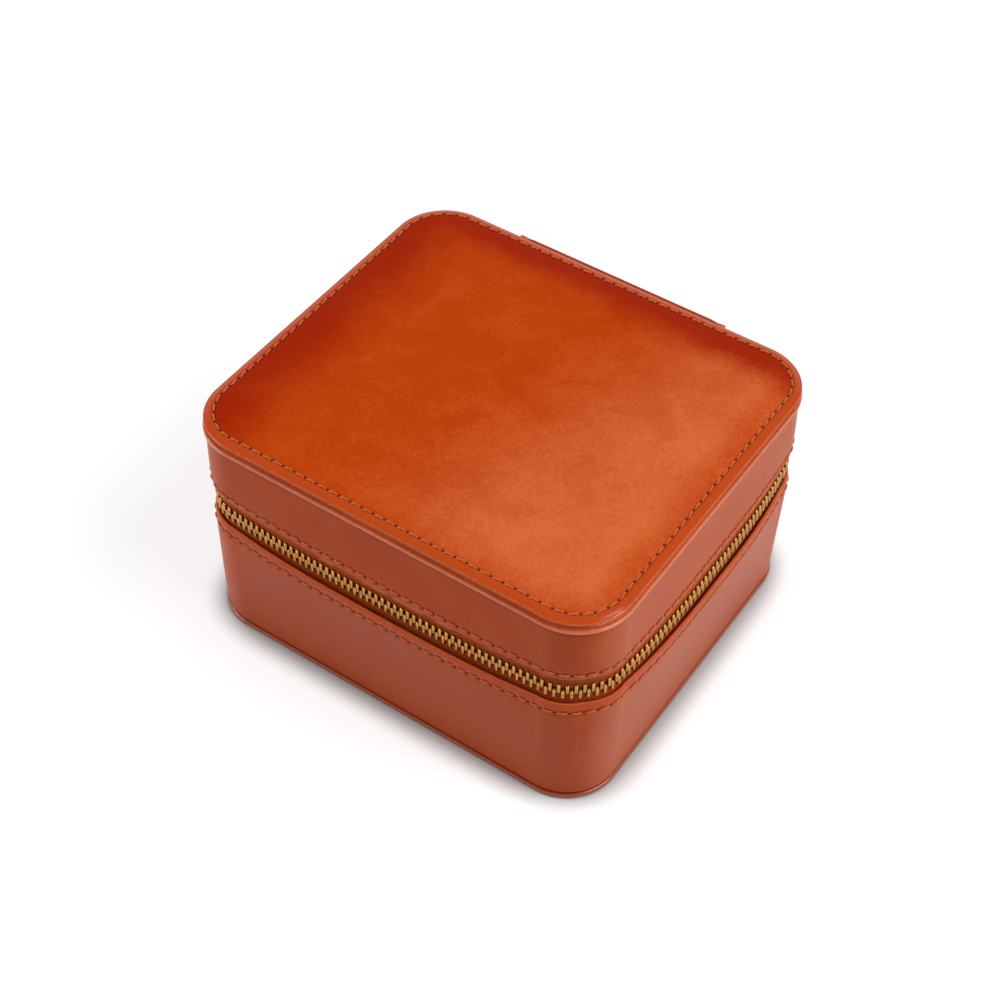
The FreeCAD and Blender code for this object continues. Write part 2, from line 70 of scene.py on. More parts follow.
def number(name, description, default, subtype="NONE", unit="NONE"):
    return FloatProperty(name=name, description=description, default=default, subtype=subtype, unit=unit)


def length(name, description, millimetres):
    return number(name, description, millimetres * MM, "DISTANCE", "LENGTH")


def angle(name, description, degrees):
    return number(name, description, math.radians(degrees), "ANGLE", "ROTATION")


def vector(name, description, default, subtype, unit="NONE"):
    return FloatVectorProperty(name=name, description=description, default=default, size=3, subtype=subtype, unit=unit)


def colour(name, description, default):
    return vector(name, description, default, "COLOR")


class CaseSizes(bpy.types.PropertyGroup):
    """Sizes of the case's visible details."""

    corner_radius: length("Corner radius", "Radius of the case's upright corners", 17.5)
    sampling: length("Sampling", "Distance between points along the case's outline", 0.8)
    stitch_pitch: length("Stitch pitch", "Distance from one needle hole to the next", 4.0)
    thread_radius: length("Thread radius", "Half the thickness of the sewing thread", 0.27)
    top_seam: length("Top seam", "From the top's outline in to its stitches", 3.2)
    border_rise: length("Border rise", "Height of the stitches above the rim's edge", 0.8)
    rim: length("Rim", "Thickness of the top's turned rim", 1.05)
    bead: length("Bead", "Thickness of the piping's bead", 1.35)
    bead_proud: length("Bead proud", "How far the piping's bead stands out past the rim", 0.4)
    groove: length("Groove", "Depth of the groove between the piping's bead and the rim", 1.7)
    lid_seam: length("Lid seam", "From the lid's zip edge up to its stitches", 3.2)
    base_seam: length("Base seam", "From the base's zip edge down to its stitches", 3.0)
    crown_run: length("Crown run", "How far the padded top takes to rise", 9.0)
    lid_bow_front: length("Lid bow, front", "Bow of the lid's edge in the middle of the front", 2.4)
    lid_bow_right: length("Lid bow, right", "Bow of the lid's edge in the middle of the right side", 2.7)
    base_bow_front: length("Base bow, front", "Bow of the base's edge in the middle of the front", 3.6)
    base_bow_right: length("Base bow, right", "Bow of the base's edge in the middle of the right side", 3.9)
    chain_bow_front: length("Chain bow, front", "Bow of the teeth in the middle of the front", 2.65)
    chain_bow_right: length("Chain bow, right", "Bow of the teeth in the middle of the right side", 3.2)
    lid_roll: length("Lid roll", "How far the lid's edge is turned in below its stitches", 0.8)
    base_turn: length("Base turn", "How far the base's edge is turned in above its stitches", 0.4)
    base_roll: length("Base roll", "How far the base's turned edge rises above its solid", 0.7)
    tooth_foot: length("Tooth foot", "How far the teeth's legs reach onto the tape", 0.2)
    tape_thickness: length("Tape thickness", "Thickness of the woven zip tapes", 0.6)
    tape_tuck: length("Tape tuck", "How far the zip tapes reach under the spine", 8.0)
    spine_seam: length("Spine seam", "From the spine's sides in to their stitches", 3.0)
    unevenness: length("Unevenness", "Height of the leather's slow waves", 0.07)
    pore: length("Pore", "Size of the leather's pores", 0.4)
    fibre: length("Fibre", "Size of the suede's fibres", 0.3)


class CaseColours(bpy.types.PropertyGroup):
    """Colours of the case's materials."""

    leather: colour("Leather", "Tan leather", (0.55, 0.062, 0.0012))
    # Pale leather; it also paints the sheen towards the top's front right and the piping bead's highlight.
    pale_leather_and_sheen: colour("Pale leather", "Tan leather where the finish is thin", (0.74, 0.156, 0.043))
    leather_wall: colour("Wall leather", "Tan leather of the walls", (0.52, 0.076, 0.009))
    # Painted light and sheen: the right wall is coloured paler than the front.
    right_wall_light_and_sheen: colour("Pale wall leather", "Tan leather of the right wall", (0.57, 0.125, 0.04))
    # Burnish; it also paints shade at the top's left and back and under the piping.
    burnish_and_shade: colour("Burnish", "Dark red-brown burnishing of the leather", (0.37, 0.017, 0.0003))
    leather_edge: colour("Leather edge", "Dyed edges and rim", (0.54, 0.062, 0.004))
    # Painted highlight along the crests of the rim, the piping and the turned edges.
    crest_highlight: colour("Rubbed edge", "Leather rubbed pale along its crests", (0.80, 0.24, 0.09))
    # Dark needle-hole colours: painted shade inside the holes.
    needle_hole_shade: colour("Needle hole", "Needle holes in leather", (0.085, 0.012, 0.0015))
    suede_hole_shade: colour("Suede needle hole", "Needle holes in suede", (0.03, 0.015, 0.01))
    thread: colour("Thread", "Sewing thread", (0.60, 0.135, 0.013))
    tape: colour("Zip tape", "Woven zip tape", (0.56, 0.085, 0.008))
    brass: colour("Brass", "Antique brass of the zip", (0.28, 0.097, 0.012))
    brass_dark: colour("Dark brass", "Stain in the brass's hollows", (0.055, 0.024, 0.006))
    brass_rubbed: colour("Rubbed brass", "Brass rubbed bright on its edges", (0.74, 0.38, 0.09))
    suede: colour("Suede", "Lining inside the case", (0.30, 0.17, 0.09))
    cushion: colour("Cushion", "Covers of the watch cushions", (0.36, 0.22, 0.125))
    board: colour("Board", "Grey-brown board inside the walls", (0.36, 0.29, 0.21))


class StageSettings(bpy.types.PropertyGroup):
    """Camera and light of the photograph's view."""

    azimuth: angle("Azimuth", "Camera's turn from the front", 33.16)
    elevation: angle("Elevation", "Camera's height above the horizon", 47.556)
    roll: angle("Roll", "Camera's tilt about its view", 1.315)
    distance: length("Distance", "From the camera to its target", 603.9)
    lens: number("Lens", "Focal length in millimetres on a 36 mm sensor", 69.44, "DISTANCE_CAMERA", "CAMERA")
    target: vector("Target", "Point the camera looks at", (0.39 * MM, -2.46 * MM, 39.52 * MM), "TRANSLATION", "LENGTH")
    sky: number("Sky", "Strength of the light from all round", 0.34)
    ceiling: number("Ceiling", "Brightness of the studio's ceiling in reflections", 0.14)
    key: number("Key", "Power of the large soft lamp", 21.0, "POWER", "POWER")
    fill: number("Fill", "Power of the weak lamp", 11.0, "POWER", "POWER")


def sizes():
    return bpy.context.scene.case_sizes


def colours():
    return bpy.context.scene.case_colours


# Shader nodes. A helper that is given a socket adds its node to that socket's tree.


def join(value, socket):
    """Connects an input socket, or fills it with a plain value."""
    if isinstance(value, bpy.types.NodeSocket):
        socket.id_data.links.new(value, socket)
    else:
        socket.default_value = value


def join_all(sockets, **values):
    """Connects or fills input sockets by their names, with underscores for spaces."""
    for name, value in values.items():
        join(value, sockets[name.replace("_", " ")])


def add(tree, kind, inputs=None, **settings):
    """Adds a node, sets it up and connects or fills its inputs."""
    node = tree.nodes.new(kind)
    for key, value in settings.items():
        setattr(node, key, value)
    for key, value in (inputs or {}).items():
        join(value, node.inputs[key])
    return node


def calc(operation, *values, clamp=False):
    tree = next(value.id_data for value in values if isinstance(value, bpy.types.NodeSocket))
    return add(tree, "ShaderNodeMath", dict(enumerate(values)), operation=operation, use_clamp=clamp).outputs[0]


def times(first, second):
    return calc("MULTIPLY", first, second)


def plus(first, second, clamp=False):
    return calc("ADD", first, second, clamp=clamp)


def minus(first, second):
    return calc("SUBTRACT", first, second)


def larger(first, second):
    return calc("MAXIMUM", first, second)


def ramp(value, low, high, to_low=0.0, to_high=1.0):
    """Smooth step of a value from low to high."""
    inputs = {0: value, 1: low, 2: high, 3: to_low, 4: to_high}
    return add(value.id_data, "ShaderNodeMapRange", inputs, interpolation_type="SMOOTHSTEP").outputs[0]


def mix(factor, first, second):
    """Mixes two colours."""
    first, second = (v if isinstance(v, bpy.types.NodeSocket) else (*v, 1.0)[:4] for v in (first, second))
    return add(factor.id_data, "ShaderNodeMix", {0: factor, 6: first, 7: second}, data_type="RGBA").outputs[2]


def noise(point, scale, detail=4.0, roughness=0.55, distortion=0.0):
    inputs = {"Vector": point, "Scale": scale, "Detail": detail, "Roughness": roughness, "Distortion": distortion}
    return add(point.id_data, "ShaderNodeTexNoise", inputs).outputs["Fac"]


def stretched(point, scale):
    return add(point.id_data, "ShaderNodeMapping", {"Vector": point, "Scale": scale}).outputs[0]


def axes(point):
    return add(point.id_data, "ShaderNodeSeparateXYZ", {0: point}).outputs


def object_point(tree):
    return add(tree, "ShaderNodeTexCoord").outputs["Object"]


def seam_point(tree):
    """Places along and across a seam or a tape."""
    place = axes(add(tree, "ShaderNodeUVMap", uv_map="Seam").outputs[0])
    return place[0], place[1]


def bump(height, distance):
    inputs = {"Height": height, "Distance": distance, "Strength": 1.0}
    return add(height.id_data, "ShaderNodeBump", inputs).outputs[0]


def shaded(tone, share):
    """A darker or lighter shade of a colour."""
    return tuple(share * channel for channel in tone)


def new_group(name, inputs, outputs):
    """Node group with named number sockets; gives its tree, the values given to it and its result's sockets."""
    tree = bpy.data.node_groups.new(name, "ShaderNodeTree")
    for key, value in inputs.items():
        tree.interface.new_socket(key, in_out="INPUT", socket_type="NodeSocketFloat").default_value = value
    for key in outputs:
        tree.interface.new_socket(key, in_out="OUTPUT", socket_type="NodeSocketFloat")
    return tree, add(tree, "NodeGroupInput").outputs, add(tree, "NodeGroupOutput").inputs


def use(tree, group, **inputs):
    node = add(tree, "ShaderNodeGroup", node_tree=bpy.data.node_groups[group])
    join_all(node.inputs, **inputs)
    return node.outputs


def leather_grain_group():
    """Fine pores and creases of smooth leather, and the slow mottling of its dye."""
    tree, given, result = new_group("Leather grain", {"Pore size": 0.4 * MM}, ("Height", "Mottle", "Pores"))
    point = object_point(tree)
    swirl = add(tree, "ShaderNodeTexNoise", {"Vector": point, "Scale": 1100.0, "Detail": 1.0}).outputs["Color"]
    inputs = {0: swirl, 1: (0.5 * MM,) * 3, 2: point}
    bent = add(tree, "ShaderNodeVectorMath", inputs, operation="MULTIPLY_ADD").outputs[0]
    inputs = {"Vector": bent, "Scale": calc("DIVIDE", 1.0, given["Pore size"]), "Smoothness": 0.6}
    cells = add(tree, "ShaderNodeTexVoronoi", inputs, feature="SMOOTH_F1").outputs["Distance"]
    pebbles = ramp(cells, 0.75, 0.1)
    fine = noise(point, 2600.0, 3.0, 0.6)
    speckle = noise(point, 950.0, 3.0, 0.65)
    slow = noise(point, 60.0, 4.0, 0.6, 0.8)
    join_all(
        result,
        Height=plus(times(pebbles, 0.5), times(fine, 0.6)),
        Mottle=ramp(plus(times(speckle, 0.5), times(slow, 0.5)), 0.34, 0.66),
        Pores=ramp(plus(cells, fine), 0.7, 1.3),
    )


def stitch_marks_group():
    """Needle holes, the dip between them and puckers beside a seam, from the seam's own coordinates."""
    tree, given, result = new_group("Stitch marks", {"Pitch": 4.0}, ("Holes", "Height", "Edge"))
    run, off = seam_point(tree)
    along = times(minus(calc("FRACT", plus(run, 0.5)), 0.5), given["Pitch"])
    reach = calc("SQRT", plus(calc("POWER", along, 2.0), calc("POWER", off, 2.0)))
    pucker = ramp(reach, 1.7, 0.2)
    beside = ramp(calc("ABSOLUTE", off), 1.3, 0.15)
    join_all(
        result,
        Holes=ramp(reach, 0.72, 0.3),
        Height=plus(times(pucker, -0.6), times(beside, -0.4)),
        Edge=ramp(off, -0.5, 0.6),
    )


def nap_group():
    """Short brushed pile: streaks that lie one way, and a soft change of shade."""
    tree, given, result = new_group("Brushed nap", {"Fibre": 0.3 * MM}, ("Height", "Shade"))
    point = object_point(tree)
    fibres = noise(stretched(point, (1.0, 0.35, 0.6)), calc("DIVIDE", 1.0, given["Fibre"]), 3.0, 0.6)
    patches = noise(point, 90.0, 3.0, 0.5, 0.6)
    join_all(result, Height=fibres, Shade=ramp(plus(times(fibres, 0.5), times(patches, 0.5)), 0.3, 0.7))


def weave_group():
    """Twill of a woven tape, from distances along and across it in millimetres."""
    tree, given, result = new_group("Tape weave", {"Thread": 0.45}, ("Height", "Shade"))
    warp, weft = (calc("DIVIDE", way, given["Thread"]) for way in seam_point(tree))
    ribs = calc("SINE", times(plus(warp, calc("PINGPONG", weft, 2.0)), math.pi))
    picks = calc("SINE", times(weft, 2 * math.pi))
    height = plus(times(ribs, 0.35), times(picks, 0.15))
    join_all(result, Height=height, Shade=ramp(height, -0.5, 0.5))


def wear_and_highlight_group():
    """Where a convex edge is brightened and a hollow keeps its dark finish: rubbed brass on the zip, a painted
    highlight on leather crests.
    """
    tree, given, result = new_group("Edge wear and highlight", {"Amount": 0.5}, ("Rubbed", "Hollow"))
    bend = add(tree, "ShaderNodeNewGeometry").outputs["Pointiness"]
    patchy = plus(bend, times(minus(noise(object_point(tree), 700.0), 0.5), 0.06))
    join_all(result, Rubbed=times(ramp(patchy, 0.505, 0.58), given["Amount"]), Hollow=ramp(patchy, 0.495, 0.42))


def start_material(name, **settings):
    """New material; gives its tree and the inputs of its Principled shader, whose plain values are set."""
    material = bpy.data.materials.new(name)
    material.use_nodes = True
    shader = material.node_tree.nodes["Principled BSDF"].inputs
    join_all(shader, **settings)
    return material.node_tree, shader


def top_burnish_shade_and_sheen(point):
    """Masks of the top: burnished and painted in shade at the left and the back, paler and painted with sheen towards
    the front right.
    """
    low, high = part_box("lid_top_panel")
    drift = times(minus(noise(point, 45.0, 3.0), 0.5), 11 * MM)
    place = axes(point)
    x, y = plus(place[0], drift), plus(place[1], drift)
    # Burnish and painted shade, strongest at the left and the back.
    left = ramp(x, low.x + 33 * MM, low.x + 2 * MM, 0.0, 0.95)
    back = ramp(y, high.y - 22 * MM, high.y - 3 * MM)
    # Paler leather and painted sheen towards the front right.
    rubbed = ramp(minus(x, times(y, 0.35)), -12 * MM, 62 * MM)
    for way, start, end in ((x, high.x - 3 * MM, high.x - 15 * MM), (y, low.y + 2 * MM, low.y + 13 * MM)):
        rubbed = times(rubbed, ramp(way, start, end, 0.35, 1.0))
    return larger(left, back), rubbed


def wall_burnish_shade_and_sheen(point):
    """Masks of the walls: burnished and painted in shade under the piping, painted light and sheen on the right side.
    """
    top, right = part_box("lid_wall_leather")[1].z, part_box("lid_top_panel")[1].x
    place = axes(point)
    # Burnish and painted shade under the piping.
    under_piping = times(ramp(place[2], top - 2.6 * MM, top), 0.5)
    faded = ramp(noise(point, 30.0, 3.0), 0.2, 0.8, 0.75, 1.0)
    # Painted light and sheen on the right side.
    return under_piping, times(faded, ramp(place[0], right - 6 * MM, right - 1 * MM))


def leather_material(name, base, pale, finish, edge_gloss, specular, roughness):
    """Smooth burnished leather with pores, mottled dye, needle holes along its seam painted dark as their shade, a
    dyed edge beyond it and a painted highlight on the crests of that edge.

    finish takes a point and gives two masks: the burnished parts, also painted in shade, and the paler parts, also
    painted with sheen and light.
    """
    tree, shader = start_material(name, Specular_IOR_Level=specular, Coat_Roughness=0.16)
    tone = colours()
    leather = use(tree, "Leather grain", Pore_size=sizes().pore)
    marks = use(tree, "Stitch marks", Pitch=sizes().stitch_pitch / MM)
    # The first mask is burnish with painted shade, the second paler leather with painted sheen and light.
    burnished, rubbed = finish(object_point(tree))
    lift = times(minus(leather["Mottle"], 0.5), 0.24)
    deepen = plus(times(minus(1.0, leather["Mottle"]), 0.24), times(leather["Pores"], 0.1))
    # Painted highlight on the crests of the dyed edge.
    crest = times(use(tree, "Edge wear and highlight", Amount=0.6)["Rubbed"], marks["Edge"])
    # Paler leather with painted sheen and light, then burnish with painted shade.
    shade = mix(plus(rubbed, lift, clamp=True), base, pale)
    shade = mix(plus(burnished, deepen, clamp=True), shade, tone.burnish_and_shade)
    shade = mix(times(marks["Edge"], 0.9), shade, tone.leather_edge)
    # Paints that highlight in a pale colour.
    shade = mix(crest, shade, tone.crest_highlight)
    # Needle holes painted dark as the shade inside them.
    shade = mix(times(marks["Holes"], 0.85), shade, tone.needle_hole_shade)
    rough = plus(times(leather["Mottle"], 0.10), roughness - 0.05)
    height = plus(times(leather["Height"], 0.06), times(marks["Height"], 0.5))
    join_all(
        shader,
        Base_Color=shade,
        Roughness=larger(rough, marks["Holes"]),
        Coat_Weight=times(marks["Edge"], edge_gloss),
        Normal=bump(height, 0.6 * MM),
    )


def edge_material(name, base, crest_highlight_amount):
    """Dyed and polished leather edge: glossy, with a painted highlight along its crest."""
    tree, shader = start_material(name, Specular_IOR_Level=0.2, Coat_Weight=0.9, Coat_Roughness=0.16)
    leather = use(tree, "Leather grain", Pore_size=sizes().pore)
    shade = mix(times(leather["Mottle"], 0.4), base, colours().burnish_and_shade)
    # Painted highlight along the crest.
    shade = mix(use(tree, "Edge wear and highlight", Amount=crest_highlight_amount)["Rubbed"], shade, colours().crest_highlight)
    rough = plus(times(leather["Mottle"], 0.1), 0.3)
    join_all(shader, Base_Color=shade, Roughness=rough, Normal=bump(leather["Height"], 0.03 * MM))


def thread_material():
    """Waxed thread with uneven strands."""
    tree, shader = start_material("waxed_thread", Specular_IOR_Level=0.4, Sheen_Weight=0.2)
    strands = noise(object_point(tree), 2600.0, 2.0)
    shade = mix(ramp(strands, 0.45, 0.8), colours().thread, colours().leather_edge)
    rough = ramp(strands, 0.2, 0.8, 0.4, 0.65)
    join_all(shader, Base_Color=shade, Roughness=rough, Normal=bump(strands, 0.05 * MM))


def tape_material():
    """Woven twill of the zip tapes."""
    tree, shader = start_material("woven_tape", Specular_IOR_Level=0.2)
    weave = use(tree, "Tape weave", Thread=0.3)
    shade = mix(weave["Shade"], shaded(colours().tape, 0.45), colours().tape)
    rough = ramp(weave["Shade"], 0.0, 1.0, 0.85, 0.65)
    join_all(shader, Base_Color=shade, Roughness=rough, Normal=bump(weave["Height"], 0.12 * MM))


def brass_material():
    """Antique brass: dark in its hollows, rubbed bright on its edges, with fine scratches."""
    tree, shader = start_material("antique_brass")
    tone = colours()
    wear = use(tree, "Edge wear and highlight", Amount=0.9)
    point = object_point(tree)
    stain = ramp(noise(point, 600.0, 5.0, 0.6, 0.5), 0.35, 0.7)
    scratched = noise(stretched(point, (1, 8, 1)), 900.0, 3.0)
    shade = mix(times(stain, 0.6), tone.brass, tone.brass_dark)
    shade = mix(times(wear["Hollow"], 0.9), shade, tone.brass_dark)
    join_all(
        shader,
        Base_Color=mix(wear["Rubbed"], shade, tone.brass_rubbed),
        Metallic=minus(1.0, times(stain, 0.25)),
        Roughness=ramp(scratched, 0.2, 0.8, 0.2, 0.42),
        Normal=bump(scratched, 0.015 * MM),
    )


def suede_material(name, base):
    """Brushed suede with needle holes along its seam."""
    tree, shader = start_material(name, Sheen_Weight=0.5, Sheen_Roughness=0.4, Specular_IOR_Level=0.15)
    nap = use(tree, "Brushed nap", Fibre=sizes().fibre)
    marks = use(tree, "Stitch marks", Pitch=sizes().stitch_pitch / MM)
    shade = mix(nap["Shade"], shaded(base, 0.7), shaded(base, 1.15))
    # Needle holes painted dark as the shade inside them.
    shade = mix(times(marks["Holes"], 0.7), shade, colours().suede_hole_shade)
    rough = ramp(nap["Shade"], 0.0, 1.0, 0.95, 0.8)
    height = plus(times(nap["Height"], 0.2), times(marks["Height"], 0.5))
    join_all(shader, Base_Color=shade, Roughness=rough, Normal=bump(height, 0.5 * MM))


def board_material():
    """Pressed fibre board."""
    tree, shader = start_material("pressed_board", Specular_IOR_Level=0.2)
    fibre = noise(stretched(object_point(tree), (1, 1, 4)), 500.0, 5.0, 0.65)
    shade = mix(ramp(fibre, 0.3, 0.7), shaded(colours().board, 0.6), colours().board)
    rough = ramp(fibre, 0.0, 1.0, 0.95, 0.8)
    join_all(shader, Base_Color=shade, Roughness=rough, Normal=bump(fibre, 0.1 * MM))


def make_materials():
    """Builds every node group and material once, named by the finish."""
    for build in (leather_grain_group, stitch_marks_group, nap_group, weave_group, wear_and_highlight_group):
        build()
    tone = colours()
    leather_material(
        "leather_top", tone.leather, tone.pale_leather_and_sheen, top_burnish_shade_and_sheen, edge_gloss=0.55, specular=0.04, roughness=0.45
    )
    leather_material(
        "leather_wall", tone.leather_wall, tone.right_wall_light_and_sheen, wall_burnish_shade_and_sheen,
        edge_gloss=0.12, specular=0.15, roughness=0.42,
    )
    # The last argument sets the strength of the painted highlight on the crests.
    edge_material("leather_edge", tone.leather_edge, crest_highlight_amount=0.6)
    # The bead is coloured pale leather as a painted highlight.
    edge_material("leather_piping", tone.pale_leather_and_sheen, crest_highlight_amount=0.6)
    # The foot is the wall colour darkened: painted shade where the case meets the floor.
    edge_material("leather_foot_shaded", shaded(tone.leather_wall, 0.6), crest_highlight_amount=0.1)
    thread_material()
    tape_material()
    brass_material()
    suede_material("brushed_lining", tone.suede)
    suede_material("cushion_cover", tone.cushion)
    board_material()


# Meshes


class Rail:
    """Even points along the case's outline at an inset, from the back's middle by the left, front and right."""

    def __init__(self, inset=0.0, step=None, half_run=None, places=None):
        low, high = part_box("lid_top_panel")
        self.radius = sizes().corner_radius
        self.flat_x = (high.x - low.x) / 2 - self.radius
        self.flat_y = (high.y - low.y) / 2 - self.radius
        self.turning = self.radius - inset
        arc_run = self.turning * QUARTER
        self.ends = np.cumsum([self.flat_x, arc_run, 2 * self.flat_y, arc_run])
        self.half_whole = 2 * self.flat_x + 2 * arc_run + 2 * self.flat_y
        half = self.half_whole if half_run is None else half_run
        self.total = 2 * half
        self.closed = half_run is None and places is None
        if places is None:
            count = max(8, round(2 * half / (step or sizes().sampling)))
            places = np.linspace(-half, half, count + 1)
        self.run = places[:-1] if self.closed else places
        self._place()

    def _place(self):
        """Finds the points, their directions and their shares of the soft sides' bows."""
        a, side = np.abs(self.run), np.where(self.run < 0, -1.0, 1.0)
        flat_x, flat_y, ends = self.flat_x, self.flat_y, self.ends
        stretch = [a <= end for end in ends]
        first, second = (a - ends[0]) / self.turning, (a - ends[2]) / self.turning
        turn = np.select(stretch, [0.0, first, QUARTER, QUARTER + second], 2 * QUARTER)
        x = np.select(stretch, [a, flat_x, flat_x, flat_x], flat_x - (a - ends[3]))
        y = np.select(stretch, [-flat_y, -flat_y, -flat_y + (a - ends[1]), flat_y], flat_y)
        self.centre = np.stack([x * side, y], 1)
        self.normal = np.stack([np.sin(turn) * side, -np.cos(turn)], 1)
        self.tangent = np.stack([-self.normal[:, 1], self.normal[:, 0]], 1)
        along = np.select(stretch, [a / ends[0], 0.0, (a - ends[1]) / flat_y - 1, 0.0], 1.0)
        middle = 1 - 0.7 * np.abs(along) ** 3
        before, beyond = (0.05 + 0.25 * np.clip(way * np.cos(2 * turn), 0, 1) for way in (1, -1))
        right_share = np.select(stretch, [0.0, beyond, middle, 0.3 * np.sin(turn) ** 2], 0.0)
        self.front_share = np.select(stretch[:2], [middle, before], 0.0)
        self.right_share = np.where(side > 0, right_share, 0.0)

    def bow(self, part):
        """Outward bow of the lid, the base or the chain at its edge."""
        front, right = (getattr(sizes(), f"{part}_bow_{side}") for side in ("front", "right"))
        return self.front_share * front + self.right_share * right

    def push(self, ring, outward):
        """Moves a ring's points outwards."""
        ring[:, :2] += self.normal * np.broadcast_to(outward, len(ring))[:, None]
        return ring

    def run_of(self, points):
        """Distance along the rail of points near it."""
        x, y = points[:, 0], points[:, 1]
        a, ends = np.abs(x), self.ends
        over_x, over_y = a - self.flat_x, np.abs(y) - self.flat_y
        front_corner = np.arctan2(over_x, -y - self.flat_y) * self.turning + ends[0]
        back_corner = np.arctan2(y - self.flat_y, over_x) * self.turning + ends[2]
        run = np.select(
            [(over_x <= 0) & (y < 0), over_x <= 0, over_y <= 0, y < 0],
            [a, ends[3] + self.flat_x - a, ends[1] + y + self.flat_y, front_corner],
            back_corner,
        )
        return np.where(x < 0, -run, run)

    def ring(self, inset, z):
        """Points of the rail moved to another inset and to a level, or to a level of its own for each point."""
        flat = self.centre + self.normal * (self.radius - inset)
        return np.column_stack([flat, np.broadcast_to(z, len(flat))])


def outline():
    """Highest corner of the top, which sets the case's outline."""
    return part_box("lid_top_panel")[1]


def level(directions):
    """Flat directions as level ones in space."""
    return np.column_stack([directions, np.zeros(len(directions))])


def waves(points):
    """Slow unevenness of hand-laid leather, between -1 and 1."""
    x, y, z = (points[..., axis] / MM for axis in range(3))
    return (
        np.sin(x / 11.3 + z / 9.0 + 0.7) * np.sin(y / 13.7 - z / 17.0 + 1.9)
        + 0.6 * np.sin(x / 5.9 + y / 7.3 + z / 6.1)
        + 0.4 * np.sin(y / 4.7 - x / 8.9 + 2.3)
    ) / 2.0


def dip(distance, width):
    return np.exp(-((distance / width) ** 2))


def rise(distance, run):
    """How far padding has risen at a distance from its border."""
    return 1 - np.exp(-distance / run)


def wall_bow(rail, body, z):
    """Bow of a leather wall at a level: none at its rim, all of it at the zip."""
    low, high = (corner.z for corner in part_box(f"{body}_wall_leather"))
    share = (high - z) / (high - low) if body == "lid" else (z - low) / (high - low)
    return rail.bow(body) * np.clip(share, 0, 1) ** 1.5


def tape_bow(rail, body, z):
    """Bow of a tape: behind its wall where that covers it, and from there out to its row of teeth."""
    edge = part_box(f"{body}_wall_leather")[0 if body == "lid" else 1].z
    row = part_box(f"zip_teeth_{body}")[1 if body == "lid" else 0].z
    share, chain = np.clip((z - edge) / (row - edge), 0, 1), rail.bow("chain")
    return np.minimum(wall_bow(rail, body, z), chain) * (1 - share) + chain * share


def place_in_scene(name, data):
    """Object with this mesh, lamp or camera, in the scene."""
    thing = bpy.data.objects.new(name, data)
    bpy.context.scene.collection.objects.link(thing)
    return thing


def turn_outwards(mesh):
    """Turns all faces outwards and shades them smooth."""
    shape = bmesh.new()
    shape.from_mesh(mesh)
    bmesh.ops.recalc_face_normals(shape, faces=shape.faces)
    shape.to_mesh(mesh)
    shape.free()
    mesh.polygons.foreach_set("use_smooth", [True] * len(mesh.polygons))
    mesh.update()


def new_piece(name, vertices, faces, uv=None):
    """Mesh object in the scene; uv gives each face corner's place along and across its seam."""
    mesh = bpy.data.meshes.new(name)
    mesh.from_pydata([tuple(v) for v in vertices], [], faces)
    if uv is not None:
        mesh.uv_layers.new(name="Seam").data.foreach_set("uv", np.asarray(uv, np.float32).ravel())
    turn_outwards(mesh)
    return place_in_scene(name, mesh)


def dress(piece, material, slot, *nodes):
    """Gives a piece its finish, and hides the solids it stands for."""
    piece.data.materials.append(bpy.data.materials[material])
    if nodes:
        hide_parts(*nodes)


def settle(piece, material, body, slot, *nodes):
    """Dresses a piece that rides on one body."""
    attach(piece, body)
    dress(piece, material, slot, *nodes)


def refine(piece):
    smooth = piece.modifiers.new("Smooth", "SUBSURF")
    smooth.levels = smooth.render_levels = 1


def grid_faces(rows, count, close_rows=False, close_count=False):
    """Quads between rows that have the same count of points."""
    faces = []
    for row in range(rows if close_rows else rows - 1):
        this, upper = row * count, (row + 1) % rows * count
        for k in range(count if close_count else count - 1):
            n = (k + 1) % count
            faces.append((this + k, this + n, upper + n, upper + k))
    return faces


def bar_faces(rows, count):
    """Faces of a closed bar: its rows of points go round it, and both ends are capped."""
    last = (rows - 1) * count
    ends = [tuple(range(count)), tuple(range(last, last + count))]
    return grid_faces(rows, count, close_count=True) + ends


def slab_faces(rows, count):
    """Faces of a thin slab: two grids of points, one behind the other, and the border between them."""
    size = rows * count
    front = grid_faces(rows, count)
    back = [tuple(size + i for i in face) for face in front]
    border = list(range(count)) + [j * count + count - 1 for j in range(1, rows)]
    border += [(rows - 1) * count + i for i in range(count - 2, -1, -1)] + [j * count for j in range(rows - 2, 0, -1)]
    return front + back + [(a, b, b + size, a + size) for a, b in zip(border, border[1:] + border[:1])]


def face_corners(vertices, faces):
    """Points at the corners of all faces in turn."""
    return np.array(vertices)[[i for face in faces for i in face]]


def skin(name, rail, rings, offsets=None, pitch=MM, loop=False, capped=False):
    """Quads between rings along a rail. offsets give each ring's distance from the seam, in millimetres."""
    rings = np.asarray(rings)
    rows, count = rings.shape[:2]
    offsets = np.full(rows, FAR_FROM_STITCHES) if offsets is None else np.asarray(offsets, float)
    along = (np.append(rail.run, rail.run[0] + rail.total) if rail.closed else rail.run) / pitch
    start, end = along[:-1], along[1:]
    faces, uv, caps = grid_faces(rows, count, close_rows=loop, close_count=rail.closed), [], []
    for row in range(rows if loop else rows - 1):
        this, upper = (np.full(len(start), offsets[k % rows]) for k in (row, row + 1))
        uv.append(np.stack([start, this, end, this, end, upper, start, upper], 1).reshape(-1, 2))
    if capped:
        caps += [tuple(row * count + k for k in range(count)) for row in (0, rows - 1)]
    if loop and not rail.closed:
        caps += [tuple(row * count + k for row in range(rows)) for k in (0, count - 1)]
    uv += [np.full((len(cap), 2), -FAR_FROM_STITCHES) for cap in caps]
    return new_piece(name, rings.reshape(-1, 3), faces + caps, np.concatenate(uv))


